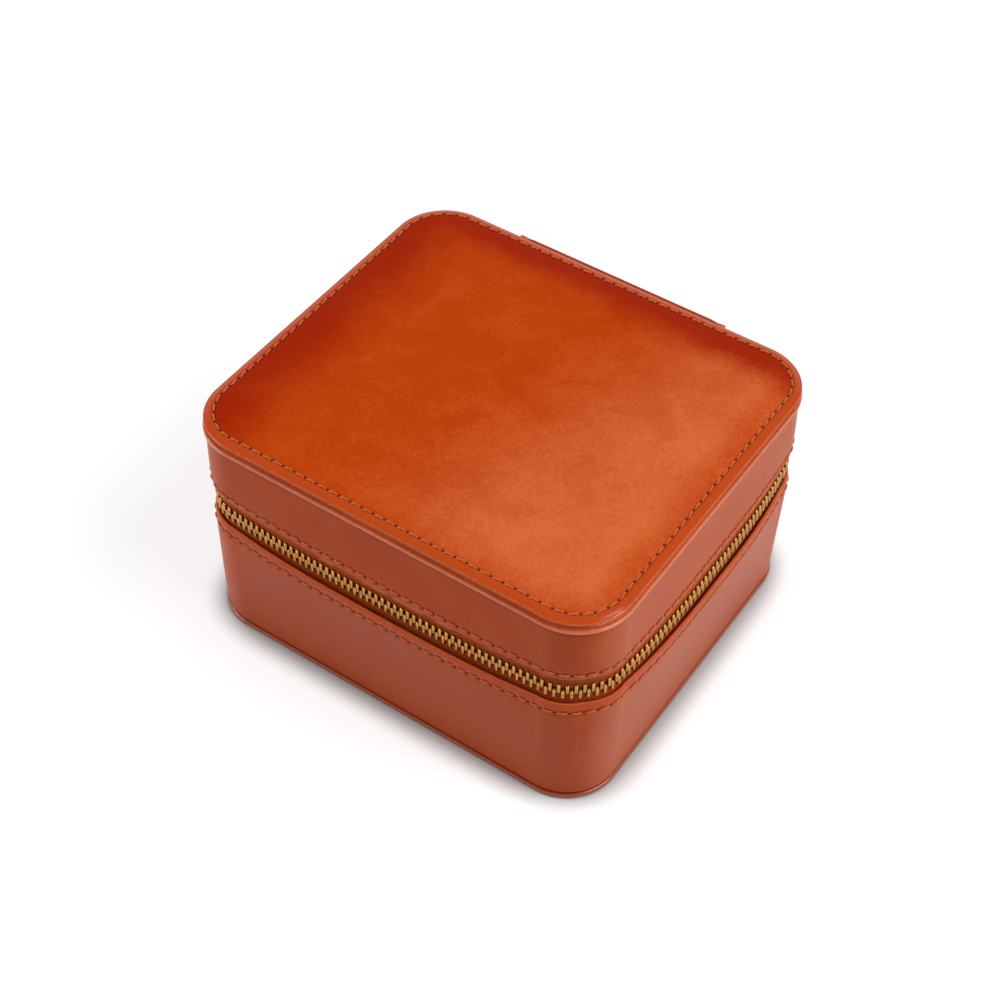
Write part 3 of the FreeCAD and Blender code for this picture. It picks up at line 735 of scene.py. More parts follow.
def shrinking_rings(border, height_at, count):
    """Rings that shrink from a border to the middle of a panel."""
    rings = []
    for step in range(1, count):
        ring = border.copy()
        ring[:, :2] *= 1 - step / count
        ring[:, 2] = height_at(ring[:, 0], ring[:, 1])
        rings.append(ring)
    return rings


def near_edges(low, high, step, fine):
    """Values from low to high, close together near both ends."""
    inner = np.linspace(low + fine, high - fine, max(3, round((high - low - 2 * fine) / step)))
    ends = fine * np.array([0, 0.08, 0.25, 0.5, 0.75])
    return np.concatenate([low + ends, inner, (high - ends)[::-1]])


def arc(x, z, radius, start, end, steps):
    """Points of an arc about a centre."""
    return [(x + radius * math.cos(t), z + radius * math.sin(t)) for t in np.linspace(start, end, steps)]


def rounded_strip(face, back, low, high, radius, step, steps=5):
    """Closed profile (inset, level) of a strip with rounded edges, up its face and down its back."""
    outer, inner, bottom, top = face + radius, back - radius, low + radius, high - radius
    points = [(face, z) for z in np.linspace(bottom, top, max(3, round((top - bottom) / step)))]
    points += arc(outer, top, radius, 2 * QUARTER, QUARTER, steps)[1:]
    points += arc(inner, top, radius, QUARTER, 0, steps)
    points += [(back, (low + high) / 2)]
    points += arc(inner, bottom, radius, 0, -QUARTER, steps)
    points += arc(outer, bottom, radius, -QUARTER, -2 * QUARTER, steps)[:-1]
    return points


def rounded_rim(low, high, reach, steps=9):
    """Profile (inset, level) of a turned rim: from under it, round its edge and onto its face."""
    half, middle = (high - low) / 2, (low + high) / 2
    radius = 0.96 * half
    turns = np.linspace(-QUARTER, QUARTER, steps)
    points = [(reach, low), (radius + 0.4 * MM, low)]
    return points + [(radius - radius * math.cos(t), middle + half * math.sin(t)) for t in turns]


def rim_top():
    """Level of the rim's edge: the top panel's solid is as thick there as the bottom panel."""
    low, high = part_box("base_bottom_panel")
    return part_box("lid_top_panel")[0].z + high.z - low.z - 0.2 * MM


def seam_top():
    """Level of the top's stitches, where the sloping border meets the padded crown."""
    return rim_top() + sizes().border_rise


# Sewing


def seam_pitch(rail):
    """Stitch pitch that divides the rail's whole length evenly."""
    return rail.total / round(rail.total / sizes().stitch_pitch)


def seam_line(rail, inset, pitch):
    """Rail with one place for each stitch, midway between its needle holes."""
    count = round(rail.total / pitch)
    return Rail(inset, places=-rail.total / 2 + pitch * (np.arange(count) + 0.5))


def stitch_shape(pitch):
    """One stitch: a twisted thread that rises out of one hole and dips into the next."""
    steps, around = 10, 8
    half_length, radius = 0.38 * pitch, sizes().thread_radius
    vertices = []
    for t in np.linspace(-1, 1, steps + 1):
        lift = 0.55 * radius * math.cos(t * QUARTER) - 0.75 * radius * abs(t) ** 3
        for turn in np.arange(around) * 4 * QUARTER / around:
            r = radius * (1 - 0.45 * t**6) * (1 + 0.13 * math.cos(2 * turn + 5.0 * t))
            vertices.append((t * half_length, r * math.cos(turn), lift + r * math.sin(turn)))
    return np.array(vertices), bar_faces(steps + 1, around)


def repeat(name, shape, origins, tangents, normals):
    """One mesh with a copy of a shape in each frame."""
    vertices, faces = shape
    tangents, normals = (np.broadcast_to(ways, origins.shape) for ways in (tangents, normals))
    sides = np.cross(normals, tangents)
    copies = (
        origins[:, None]
        + vertices[None, :, :1] * tangents[:, None]
        + vertices[None, :, 1:2] * sides[:, None]
        + vertices[None, :, 2:] * normals[:, None]
    )
    size = len(vertices)
    every = [tuple(n * size + i for i in face) for n in range(len(origins)) for face in faces]
    return new_piece(name, copies.reshape(-1, 3), every)


def sew(name, line, origins, normals, pitch, body, seed):
    """Stitches along a seam, each turned and moved a little differently."""
    rng = np.random.default_rng(seed)
    turn = rng.normal(0.10, 0.035, len(origins))[:, None]
    tangents = level(line.tangent)
    sides = np.cross(normals, tangents)
    tangents = tangents * np.cos(turn) + sides * np.sin(turn)
    origins = origins + sides * rng.normal(0, 0.05 * MM, len(origins))[:, None]
    piece = repeat(name, stitch_shape(pitch), origins, tangents, normals)
    settle(piece, "waxed_thread", body, "leather_tan")


# Pieces


class CASE_OT_boards(bpy.types.Operator):
    """Board stiffeners keep their solids and get their own finish"""

    bl_idname = "case.boards"
    bl_label = "Boards"

    def execute(self, context):
        for name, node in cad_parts.items():
            if name.endswith("_board"):
                for slot in node.material_slots:
                    slot.material = bpy.data.materials["pressed_board"]
        return {"FINISHED"}


class CASE_OT_top_panel(bpy.types.Operator):
    """Padded leather top with its turned rim, sewn border and stitches"""

    bl_idname = "case.top_panel"
    bl_label = "Top panel"

    def execute(self, context):
        size = sizes()
        seam, edge, top = size.top_seam, rim_top(), seam_top()
        rail = Rail(seam)
        pitch = seam_pitch(rail)
        rings, offsets = [], []
        for inset, z in rounded_rim(edge - size.rim, edge, reach=8 * MM):
            rings.append(rail.ring(inset, z))
            offsets.append((seam - inset) / MM if z > edge - 0.2 * MM else FAR_FROM_STITCHES)
        start = size.rim / 2
        border = np.linspace(start, seam, 12)[1:]
        beside = seam + np.linspace(0.15, 2.0, 10) * MM
        within = seam + np.linspace(2.5, 9.0, 15) * MM
        for inset in (*border, *beside, *within):
            slope = math.sin(min(1.0, (inset - start) / (seam - start)) * QUARTER)
            drawn = 0.3 * MM * dip(inset - seam, 0.6 * MM)
            ring = rail.ring(inset, top)
            ring[:, 2] = self.surface(ring[:, 0], ring[:, 1]) - (top - edge) * (1 - slope) - drawn
            rings.append(ring)
            offsets.append((seam - inset) / MM)
        rings += shrinking_rings(rings[-1], self.surface, count=26)
        offsets += [-FAR_FROM_STITCHES] * (len(rings) - len(offsets))
        panel = skin("top_panel", rail, rings, offsets, pitch, capped=True)
        settle(panel, "leather_top", "lid", "leather_tan", "lid_top_panel", "lid_foam")
        line = seam_line(rail, seam, pitch)
        sew("top_stitches", line, line.ring(seam, top - 0.14 * MM), UP, pitch, "lid", seed=11)
        return {"FINISHED"}

    def surface(self, x, y):
        """Level of the padded top, with the leather's slow waves on its crown."""
        raised = self.crown_height(x, y)
        share = np.clip(raised / (outline().z - seam_top()), 0, 1)
        uneven = 1.4 * sizes().unevenness * waves(np.stack([x, y, 0 * x], -1))
        return seam_top() + raised + uneven * share

    def crown_height(self, x, y):
        """Rise of the padded top above its flat border."""
        high, seam, run = outline(), sizes().top_seam, sizes().crown_run
        from_x = np.clip(high.x - seam - np.abs(x), 0, None)
        from_y = np.clip(high.y - seam - np.abs(y), 0, None)
        radius = sizes().corner_radius - seam
        corner = np.hypot(np.clip(radius - from_x, 0, None), np.clip(radius - from_y, 0, None))
        inside = np.clip(np.minimum(np.minimum(from_x, from_y), radius - corner), 0, None)
        return (high.z - seam_top()) * rise(from_x, run) * rise(from_y, run) * rise(inside, 0.28 * run)


class CASE_OT_piping(bpy.types.Operator):
    """Leather piping under the top's rim"""

    bl_idname = "case.piping"
    bl_label = "Piping"

    def execute(self, context):
        size = sizes()
        rail = Rail()
        radius, neck, inner = size.bead / 2, size.groove, 4 * MM
        under_rim = rim_top() - 0.3 * MM
        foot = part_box("lid_wall_leather")[1].z - 0.3 * MM
        bead = arc(radius - size.bead_proud, foot + radius, radius, start=math.pi + 1.5, end=math.pi - 1.9, steps=15)
        tail = [(neck, foot + 2 * radius), (neck, under_rim), (inner, under_rim), (inner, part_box("lid_piping")[0].z)]
        rings = [rail.ring(inset, z) for inset, z in bead + tail]
        rings = [rail.push(ring, 0.4 * size.unevenness * waves(3 * ring)) for ring in rings]
        settle(skin("piping", rail, rings, loop=True), "leather_piping", "lid", "leather_tan", "lid_piping")
        return {"FINISHED"}


class CASE_OT_walls(bpy.types.Operator):
    """Leather walls of the lid and the base with their stitches"""

    bl_idname = "case.walls"
    bl_label = "Leather walls"

    def execute(self, context):
        size = sizes()
        low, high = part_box("lid_wall_leather")
        self.wall("lid", low.z, high.z, low.z, low.z + size.lid_seam, size.lid_roll, seed=23)
        low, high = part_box("base_wall_leather")
        rolled = high.z + size.base_roll
        self.wall("base", low.z, rolled, rolled, high.z - size.base_seam, size.base_turn, seed=37)
        return {"FINISHED"}

    def wall(self, body, low, high, edge, seam, turn_in, seed):
        """Band with turned edges, bowed out at the zip, drawn in along its seam and slightly uneven."""
        thickness, edge_round = 1.4 * MM, 0.6 * MM
        face = outline().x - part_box(f"{body}_wall_leather")[1].x
        rail = Rail(face)
        pitch = seam_pitch(rail)
        middle, half = (low + high) / 2, (high - low) / 2
        rings, offsets = [], []
        for inset, z in rounded_strip(face, face + thickness, low, high, edge_round, step=0.7 * MM):
            ring = rail.push(rail.ring(inset, z), wall_bow(rail, body, z))
            towards_zip = (seam - z) * math.copysign(1, seam - edge)
            if inset < face + 0.5 * edge_round:
                turned = turn_in * np.clip(towards_zip / abs(seam - edge), 0, 1) ** 2
                free = 1 - ((z - middle) / half) ** 2
                drawn = 0.22 * MM * dip(z - seam, 0.9 * MM)
                rail.push(ring, -turned)
                rail.push(ring, 0.2 * MM * free - drawn + sizes().unevenness * waves(ring) * free)
                offsets.append(towards_zip / MM)
            else:
                offsets.append(math.copysign(FAR_FROM_STITCHES, towards_zip))
            rings.append(ring)
        band = skin(f"{body}_wall", rail, rings, offsets, pitch, loop=True)
        settle(band, "leather_wall", body, "leather_tan", f"{body}_wall_leather")
        line = seam_line(rail, face, pitch)
        origins = line.push(line.ring(face - 0.02 * MM, seam), wall_bow(line, body, seam))
        sew(f"{body}_wall_stitches", line, origins, level(line.normal), pitch, body, seed)


class CASE_OT_bottom(bpy.types.Operator):
    """Bottom leather panel and the welt in its seam"""

    bl_idname = "case.bottom"
    bl_label = "Bottom"

    def execute(self, context):
        low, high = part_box("base_bottom_panel")
        rail = Rail()
        rings = [rail.ring(inset, low.z + high.z - z) for inset, z in rounded_rim(low.z, high.z, reach=8 * MM)]
        rings += [rail.ring(inset * MM, low.z) for inset in (1.6, 3, 8)]
        rings += shrinking_rings(rings[-1], lambda x, y: low.z, count=8)
        panel = skin("bottom_panel", rail, rings, capped=True)
        # Darkened foot leather: painted shade where the case meets the floor.
        settle(panel, "leather_foot_shaded", "base", "leather_tan", "base_bottom_panel")
        welt_low, welt_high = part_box("base_welt")
        setback = high.x - welt_high.x
        profile = rounded_strip(
            setback, setback + 4 * MM, welt_low.z, welt_high.z, radius=0.25 * MM, step=0.3 * MM, steps=3
        )
        welt = skin("bottom_welt", rail, [rail.ring(inset, z) for inset, z in profile], loop=True)
        # Darkened foot leather: painted shade in the welt's groove.
        settle(welt, "leather_foot_shaded", "base", "leather_tan", "base_welt")
        return {"FINISHED"}


def tooth_shape(half_width, half_thickness, head, leg):
    """One zip element: a narrow rounded head and two crowned legs closed on the tape's cord."""
    slot, crotch = 0.3, 0.5
    shoulder = [(0.3, -1.0), (0.62, -0.92), (0.84, -0.55), (0.97, 0.0), (1.0, 0.3)]
    foot = [(1.0, 0.72), (0.9, 0.9), (0.66, 1.0), (slot, 0.98), (slot, crotch)]
    outer = shoulder + foot
    profile = outer + [(-n, v) for n, v in outer[::-1]]
    slices = (-1.0, -0.93, -0.7, -0.35, 0.0, 0.35, 0.7, 0.93, 1.0)
    vertices = []
    for x in slices:
        crown, ends = 1 - 0.1 * x**2 - 0.25 * x**6, 1 - 0.06 * x**2 - 0.12 * x**6
        for n, v in profile:
            narrow = 1 - 0.3 * max(0.0, -v) ** 0.7
            height = v * (leg if v > 0 else head) * (ends if abs(v) > 0.6 else 1.0)
            vertices.append((x * half_width * narrow, n * half_thickness * crown, height))
    return np.array(vertices), bar_faces(len(slices), len(profile))


def places_along(node, rail):
    """Middle of each separate element of a node along a rail, and half its width."""
    shape = bmesh.new()
    shape.from_mesh(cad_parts[node].data)
    bmesh.ops.remove_doubles(shape, verts=shape.verts[:], dist=0.001 * MM)
    waiting, spans = set(shape.verts), []
    while waiting:
        edge, element = [waiting.pop()], []
        while edge:
            vertex = edge.pop()
            element.append(vertex.co[:])
            near = {e.other_vert(vertex) for e in vertex.link_edges} & waiting
            waiting -= near
            edge += near
        run = rail.run_of(np.array(element))
        spans.append((run.min(), run.max()))
    shape.free()
    spans = np.array(sorted(spans))
    return spans.mean(axis=1), np.median(spans[:, 1] - spans[:, 0]) / 2


class CASE_OT_zip(bpy.types.Operator):
    """Zip tapes, their rows of teeth and the stops at their ends"""

    bl_idname = "case.zip"
    bl_label = "Zip"

    def execute(self, context):
        for body, other, row in (("lid", "base", 1), ("base", "lid", -1)):
            face = outline().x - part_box(f"zip_tape_{body}")[1].x
            self.tape(body, row, face)
            for kind, broad in (("teeth", 1.18), ("stops", 1.0)):
                self.elements(kind, body, other, row, face + sizes().tape_thickness / 2, broad)
        return {"FINISHED"}

    def elements(self, kind, body, other, row, inset, broad):
        """Row of teeth or pair of stops, with their heads between those of the other row."""
        node, half_thickness = f"zip_{kind}_{body}", 1.3 * MM
        low, high = (corner.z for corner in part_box(node))
        other_low, other_high = (corner.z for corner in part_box(f"zip_{kind}_{other}"))
        middle = (min(low, other_low) + max(high, other_high)) / 2
        head, leg = (middle - low, high - middle) if row > 0 else (high - middle, middle - low)
        places, half_width = places_along(node, Rail(inset))
        shape = tooth_shape(broad * half_width, half_thickness, head, leg + sizes().tooth_foot)
        line = Rail(inset, places=places)
        origins = line.push(line.ring(inset, middle), line.bow("chain"))
        piece = repeat(f"{node}_row", shape, origins, level(line.tangent), UP if row > 0 else DOWN)
        settle(piece, "antique_brass", body, "zip_brass", node)

    def tape(self, body, row, face):
        """Woven tape with a corded edge, which stands back along the chain to hold the teeth."""
        low, high = (corner.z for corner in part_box(f"zip_tape_{body}"))
        sewn, meeting = (high, low) if row > 0 else (low, high)
        thickness, set_back, before, after = sizes().tape_thickness, 1.9 * MM, 8 * MM, 1.5 * MM
        middle = face + thickness / 2
        half_run = Rail(face).half_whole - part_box("spine")[1].x + sizes().tape_tuck
        rail = Rail(face, half_run=half_run)
        places, _ = places_along(f"zip_teeth_{body}", Rail(middle))
        held = (rail.run > places[0] - before) & (rail.run < places[-1] + after)
        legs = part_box(f"zip_teeth_{body}")[1 if row > 0 else 0].z
        edge = np.where(held, legs - row * set_back, meeting)
        rings, offsets = [], []
        for side, shares in ((-1, np.linspace(0, 1, 15)), (1, np.linspace(1, 0, 15))):
            for share in shares:
                z = sewn + (edge - sewn) * share
                thick = thickness / 2 * (0.8 if share in (0.0, 1.0) else 1.0)
                rings.append(rail.push(rail.ring(middle + side * thick, z), tape_bow(rail, body, z)))
                offsets.append(share * abs(edge.mean() - sewn) / MM)
        piece = skin(f"zip_tape_{body}_cloth", rail, rings, offsets, loop=True)
        settle(piece, "woven_tape", body, "zip_tape", f"zip_tape_{body}")


class CASE_OT_slider(bpy.types.Operator):
    """Zip slider, its bail and the pull tab"""

    bl_idname = "case.slider"
    bl_label = "Slider"

    def execute(self, context):
        for name, node, body, width in (
            ("slider_casting", "slider_body", "slider", 0.22 * MM),
            ("slider_loop", "slider_bail", "slider", 0.3 * MM),
            ("slider_pull", "pull_tab", "puller", 0.2 * MM),
        ):
            settle(self.softened(name, node, width), "antique_brass", body, "zip_brass", node)
        return {"FINISHED"}

    def softened(self, name, node, width):
        """Copy of a node's solid with its sharp edges rounded."""
        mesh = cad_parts[node].data.copy()
        mesh.name = name
        mesh.materials.clear()
        shape = bmesh.new()
        shape.from_mesh(mesh)
        bmesh.ops.remove_doubles(shape, verts=shape.verts[:], dist=0.002 * MM)
        bmesh.ops.dissolve_limit(shape, angle_limit=math.radians(2), verts=shape.verts[:], edges=shape.edges[:])
        sharp = [e for e in shape.edges if len(e.link_faces) == 2 and e.calc_face_angle(0) > math.radians(35)]
        bmesh.ops.bevel(shape, geom=sharp, offset=width, segments=2, profile=0.6, affect="EDGES", clamp_overlap=True)
        shape.to_mesh(mesh)
        shape.free()
        turn_outwards(mesh)
        mesh.set_sharp_from_angle(angle=math.radians(40))
        return place_in_scene(name, mesh)


class CASE_OT_spine(bpy.types.Operator):
    """Leather spine with its stitches, and the lining strip behind it"""

    bl_idname = "case.spine"
    bl_label = "Spine"

    def execute(self, context):
        low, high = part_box("spine")
        seams = (low.x + sizes().spine_seam, high.x - sizes().spine_seam)
        for piece in (self.plate(low, high, seams), self.stitches(low, high, seams), self.lining()):
            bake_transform(piece)
        return {"FINISHED"}

    def plate(self, low, high, seams):
        """Upright leather plate with rounded edges, drawn in along its seams, finely divided up its height and near
        its edges.
        """
        radius, middle = 0.9 * MM, (low.y + high.y) / 2
        xs = near_edges(low.x, high.x, step=2.0 * MM, fine=1.0 * MM)
        zs = near_edges(low.z, high.z, step=0.6 * MM, fine=1.0 * MM)
        outer, inner = [], []
        for z in zs:
            for x in xs:
                edge = min(x - xs[0], xs[-1] - x, z - zs[0], zs[-1] - z)
                drop = radius - math.sqrt(max(0.0, radius**2 - max(0.0, radius - edge) ** 2))
                drawn = 0.25 * MM * sum(dip(x - seam, 0.8 * MM) for seam in seams)
                y = high.y - drop
                outer.append((x, y - drawn if y > middle else y, z))
                inner.append((x, low.y, z))
        vertices, faces = outer + inner, slab_faces(len(zs), len(xs))
        corners = face_corners(vertices, faces)
        off = np.abs(corners[:, 0]) - seams[1]
        uv = np.column_stack([corners[:, 2] / sizes().stitch_pitch, off / MM])
        piece = new_piece("spine_leather", vertices, faces, uv)
        dress(piece, "leather_wall", "leather_tan", "spine")
        return piece

    def stitches(self, low, high, seams):
        pitch = sizes().stitch_pitch
        first, last = math.ceil(low.z / pitch + 0.5), math.floor(high.z / pitch - 0.5)
        levels = (np.arange(first, last) + 0.5) * pitch
        origins = np.array([(seam, high.y - 0.14 * MM, z) for seam in seams for z in levels])
        piece = repeat("spine_stitches", stitch_shape(pitch), origins, UP, BACKWARDS)
        dress(piece, "waxed_thread", "leather_tan")
        return piece

    def lining(self):
        """Suede strip that hangs in a slack fold between the two walls."""
        low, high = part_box("hinge_lining")
        lap, thickness, ripple_height, ripple_run = 5.0 * MM, 0.8 * MM, 0.15 * MM, 5.3 * MM
        xs, zs = np.linspace(low.x, high.x, 47), np.linspace(low.z, high.z, 45)
        share = np.clip((zs - low.z - lap) / (high.z - low.z - 2 * lap), 0, 1)
        slack = np.sin(share * math.pi) ** 1.3
        sag = (high.y - low.y - thickness) * slack
        vertices = []
        for depth in (0, thickness):
            for z, hang, free in zip(zs, sag, slack / slack.max()):
                ripples = ripple_height * np.sin(xs / ripple_run) * free
                vertices += [(x, high.y - hang - depth + ripple, z) for x, ripple in zip(xs, ripples)]
        faces = slab_faces(len(zs), len(xs))
        uv = np.full((sum(len(face) for face in faces), 2), FAR_FROM_STITCHES)
        piece = new_piece("hinge_lining_strip", vertices, faces, uv)
        dress(piece, "brushed_lining", "lining_suede", "hinge_lining")
        return piece


class CASE_OT_lining(bpy.types.Operator):
    """Suede linings of the walls and floor, and the divider"""

    bl_idname = "case.lining"
    bl_label = "Lining"

    def execute(self, context):
        self.wall("lid", -1)
        self.wall("base", 1)
        self.floor()
        self.divider()
        return {"FINISHED"}

    def wall(self, body, row):
        """Lining strip turned over the board's edge, with soft corners."""
        node = f"{body}_wall_lining"
        low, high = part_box(node)
        edge, foot = (high.z, low.z) if row > 0 else (low.z, high.z)
        lip = outline().x - high.x
        inner, board, soft, turned = lip + 3.2 * MM, lip + 2.2 * MM, 0.45 * MM, edge - row * 1.0 * MM
        profile = [(inner, foot + (edge - foot) * t) for t in np.linspace(0, 0.96, 16)]
        profile += arc(inner - soft, edge - row * soft, soft, 0, row * QUARTER, 5)
        profile += arc(lip + soft, edge - row * soft, soft, row * QUARTER, 2 * row * QUARTER, 5)
        profile += [(lip, turned), (board, turned), (board, foot)]
        rail = Rail(inner, step=1.6 * MM)
        start, seam = inner - 0.5 * MM, edge - row * 4 * MM
        rings, offsets = [], []
        for inset, z in profile:
            reach = np.clip((start - inset) / (start - lip), 0, 1) * (abs(z - edge) < 1.1 * MM)
            rings.append(rail.push(rail.ring(inset, z), reach * tape_bow(rail, body, edge)))
            offsets.append(row * (seam - z) / MM if abs(inset - inner) < 0.001 * MM else -FAR_FROM_STITCHES)
        piece = skin(f"{body}_lining", rail, rings, offsets, seam_pitch(rail), loop=True)
        settle(piece, "brushed_lining", body, "lining_suede", node)

    def floor(self):
        low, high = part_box("base_floor_lining")
        inset = outline().x - high.x
        rail = Rail(inset, step=2 * MM)
        rings = [rail.ring(inset, low.z), rail.ring(inset, high.z - 0.2 * MM), rail.ring(inset + 0.3 * MM, high.z)]
        rings += shrinking_rings(rings[-1], lambda x, y: high.z, count=20)
        piece = skin("floor_lining", rail, rings, capped=True)
        settle(piece, "brushed_lining", "base", "lining_suede", "base_floor_lining")

    def divider(self):
        """Covered board, softly rounded along its top and at its ends."""
        low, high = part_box("divider")
        half, round_top, round_end = high.x, 2.2 * MM, 1.2 * MM
        side = [(half, z) for z in np.linspace(low.z, high.z - round_top, 15)]
        side += arc(half - round_top, high.z - round_top, round_top, 0, QUARTER, 7)[1:]
        profile = side + [(-x, z) for x, z in side[::-1]]
        ys = near_edges(low.y, high.y, step=2.0 * MM, fine=round_end)
        vertices = []
        for y in ys:
            pinch = 1 - 0.28 * max(0.0, 1 - min(y - low.y, high.y - y) / round_end) ** 2
            vertices += [(x * pinch, y, z) for x, z in profile]
        faces = bar_faces(len(ys), len(profile))
        corners = face_corners(vertices, faces)
        seam = high.z - 4 * MM
        uv = np.column_stack([corners[:, 1] / sizes().stitch_pitch, (corners[:, 2] - seam) / MM])
        piece = new_piece("divider_cover", vertices, faces, uv)
        settle(piece, "brushed_lining", "base", "lining_suede", "divider")


class CASE_OT_lid_pad(bpy.types.Operator):
    """Padded panel inside the lid, sewn round its border"""

    bl_idname = "case.lid_pad"
    bl_label = "Lid pad"

    def execute(self, context):
        low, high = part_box("lid_pad")
        inset, depth = outline().x - high.x, high.z - low.z
        seam = inset + 6.5 * MM
        edge_round, bulge, seam_depth, thread_depth = 3 * MM, 0.55 * depth, 1.4 * MM, 1.5 * MM
        rail = Rail(seam, step=1.6 * MM)
        pitch = seam_pitch(rail)

        def hang(x, y):
            """Level of the padding's underside."""
            from_x, from_y = (np.clip(far - seam - np.abs(v), 0, None) for far, v in zip(outline(), (x, y)))
            full = rise(from_x, 12 * MM) * rise(from_y, 12 * MM)
            uneven = 0.2 * MM * waves(np.stack([x, y, 0 * x], -1))
            return high.z - depth * (0.62 + 0.36 * full) - uneven * full

        rings = [rail.ring(inset + 0.2 * MM, high.z)]
        for turn in np.linspace(0, QUARTER, 9):
            z = high.z - 0.1 * depth - bulge * math.sin(turn)
            rings.append(rail.ring(inset + edge_round * (1 - math.cos(turn)), z))
        offsets = [FAR_FROM_STITCHES] * len(rings)
        for place in inset + np.linspace(3.6, 9.6, 14) * MM:
            ring = rail.ring(place, 0.0)
            ring[:, 2] = hang(ring[:, 0], ring[:, 1]) + seam_depth * dip(place - seam, 1.4 * MM)
            rings.append(ring)
            offsets.append((seam - place) / MM)
        rings += shrinking_rings(rings[-1], hang, count=22)
        offsets += [-FAR_FROM_STITCHES] * (len(rings) - len(offsets))
        piece = skin("lid_padding", rail, rings, offsets, pitch, capped=True)
        settle(piece, "brushed_lining", "lid", "lining_suede", "lid_pad")
        line = seam_line(rail, seam, pitch)
        origins = line.ring(seam, 0.0)
        origins[:, 2] = hang(origins[:, 0], origins[:, 1]) + thread_depth
        sew("lid_pad_stitches", line, origins, DOWN, pitch, "lid", seed=41)
        return {"FINISHED"}


class CASE_OT_cushions(bpy.types.Operator):
    """Two stuffed watch cushions with a corded seam"""

    bl_idname = "case.cushions"
    bl_label = "Cushions"

    def execute(self, context):
        low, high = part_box("watch_cushion_left")
        slack = Vector((2.2, 2.2, 2.0)) * MM
        mesh = self.pillow("watch_cushion_left_cover", low + slack, high - slack)
        middle = (low.z + high.z) / 2
        belt = [v.index for v in mesh.vertices if abs(v.co.z - middle) < 0.01 * MM]
        left = place_in_scene("watch_cushion_left_cover", mesh)
        self.stuff(context, left)
        inside = np.clip([v.co[:] for v in mesh.vertices], np.array(low), np.array(high))
        mesh.vertices.foreach_set("co", inside.ravel())
        mesh.uv_layers.new(name="Seam").data.foreach_set("uv", [FAR_FROM_STITCHES] * (2 * len(mesh.loops)))
        turn_outwards(mesh)
        right = place_in_scene("watch_cushion_right_cover", self.mirrored("watch_cushion_right_cover", mesh))
        for piece, node in ((left, "watch_cushion_left"), (right, "watch_cushion_right")):
            refine(piece)
            settle(piece, "cushion_cover", "base", "cushion_suede", node)
            self.cord(f"{node}_cord", piece.data, belt)
        return {"FINISHED"}

    def pillow(self, name, low, high):
        """Closed pillow inside a box: full in the middle, thin at its seam, its corners drawn out."""
        middle, half = (low + high) / 2, (high - low) / 2
        shape = bmesh.new()
        bmesh.ops.create_cube(shape, size=2.0)
        bmesh.ops.subdivide_edges(shape, edges=shape.edges[:], cuts=15, use_grid_fill=True)
        for vertex in shape.verts:
            x, y, z = vertex.co
            plan = max(0.0, 1 - 0.275 * (x**4 + y**4))
            corner, edge = 1 - 0.12 * (x * x * y * y), 1 - 0.06 * z * z
            draw_x = (edge - 0.10 * (1 - y * y) * abs(x) ** 6) * corner
            draw_y = (edge - 0.07 * (1 - x * x) * abs(y) ** 6) * corner
            vertex.co = Vector((x * draw_x * half.x, y * draw_y * half.y, z * plan * half.z)) + middle
        mesh = bpy.data.meshes.new(name)
        shape.to_mesh(mesh)
        shape.free()
        return mesh

    def stuff(self, context, piece):
        """Blows the cover up from inside as the stuffing does, then keeps that shape."""
        moments, most = 20, 4.0 * MM
        rest = np.array([v.co[:] for v in piece.data.vertices])
        cloth = piece.modifiers.new("Stuffing", "CLOTH")
        cloth.settings.quality = 5
        cloth.settings.use_pressure = True
        cloth.settings.uniform_pressure_force = 3.0
        cloth.settings.shrink_min = 0.04
        cloth.settings.effector_weights.gravity = 0.0
        for moment in range(1, moments + 1):
            context.scene.frame_set(moment)
        swollen = piece.evaluated_get(context.evaluated_depsgraph_get()).to_mesh()
        step = np.array([v.co[:] for v in swollen.vertices]) - rest
        far = np.linalg.norm(step, axis=1, keepdims=True)
        moved = rest + step * np.minimum(1.0, most / np.maximum(far, 1e-9))
        piece.modifiers.remove(cloth)
        piece.data.vertices.foreach_set("co", moved.ravel())
        context.scene.frame_set(1)

    def mirrored(self, name, mesh):
        other = mesh.copy()
        other.name = name
        other.transform(Matrix.Scale(-1, 4, (1, 0, 0)))
        turn_outwards(other)
        return other

    def cord(self, name, cover, belt):
        """Leather cord sewn into the seam round a cushion's middle: a closed tube."""
        radius, around = 1.0 * MM, 10
        points = np.array([cover.vertices[i].co[:] for i in belt])
        away = points - points.mean(axis=0)
        points = points[np.argsort(np.arctan2(away[:, 1], away[:, 0]))]
        ahead = np.roll(points, -1, axis=0) - np.roll(points, 1, axis=0)
        ahead /= np.linalg.norm(ahead, axis=1, keepdims=True)
        out = np.column_stack([ahead[:, 1], -ahead[:, 0], np.zeros(len(points))])
        turns = np.arange(around) * 4 * QUARTER / around
        vertices = [points + radius * (math.cos(t) * out + math.sin(t) * np.array(UP)) for t in turns]
        faces = grid_faces(around, len(points), close_rows=True, close_count=True)
        piece = new_piece(name, np.concatenate(vertices), faces)
        refine(piece)
        settle(piece, "leather_edge", "base", "leather_tan")


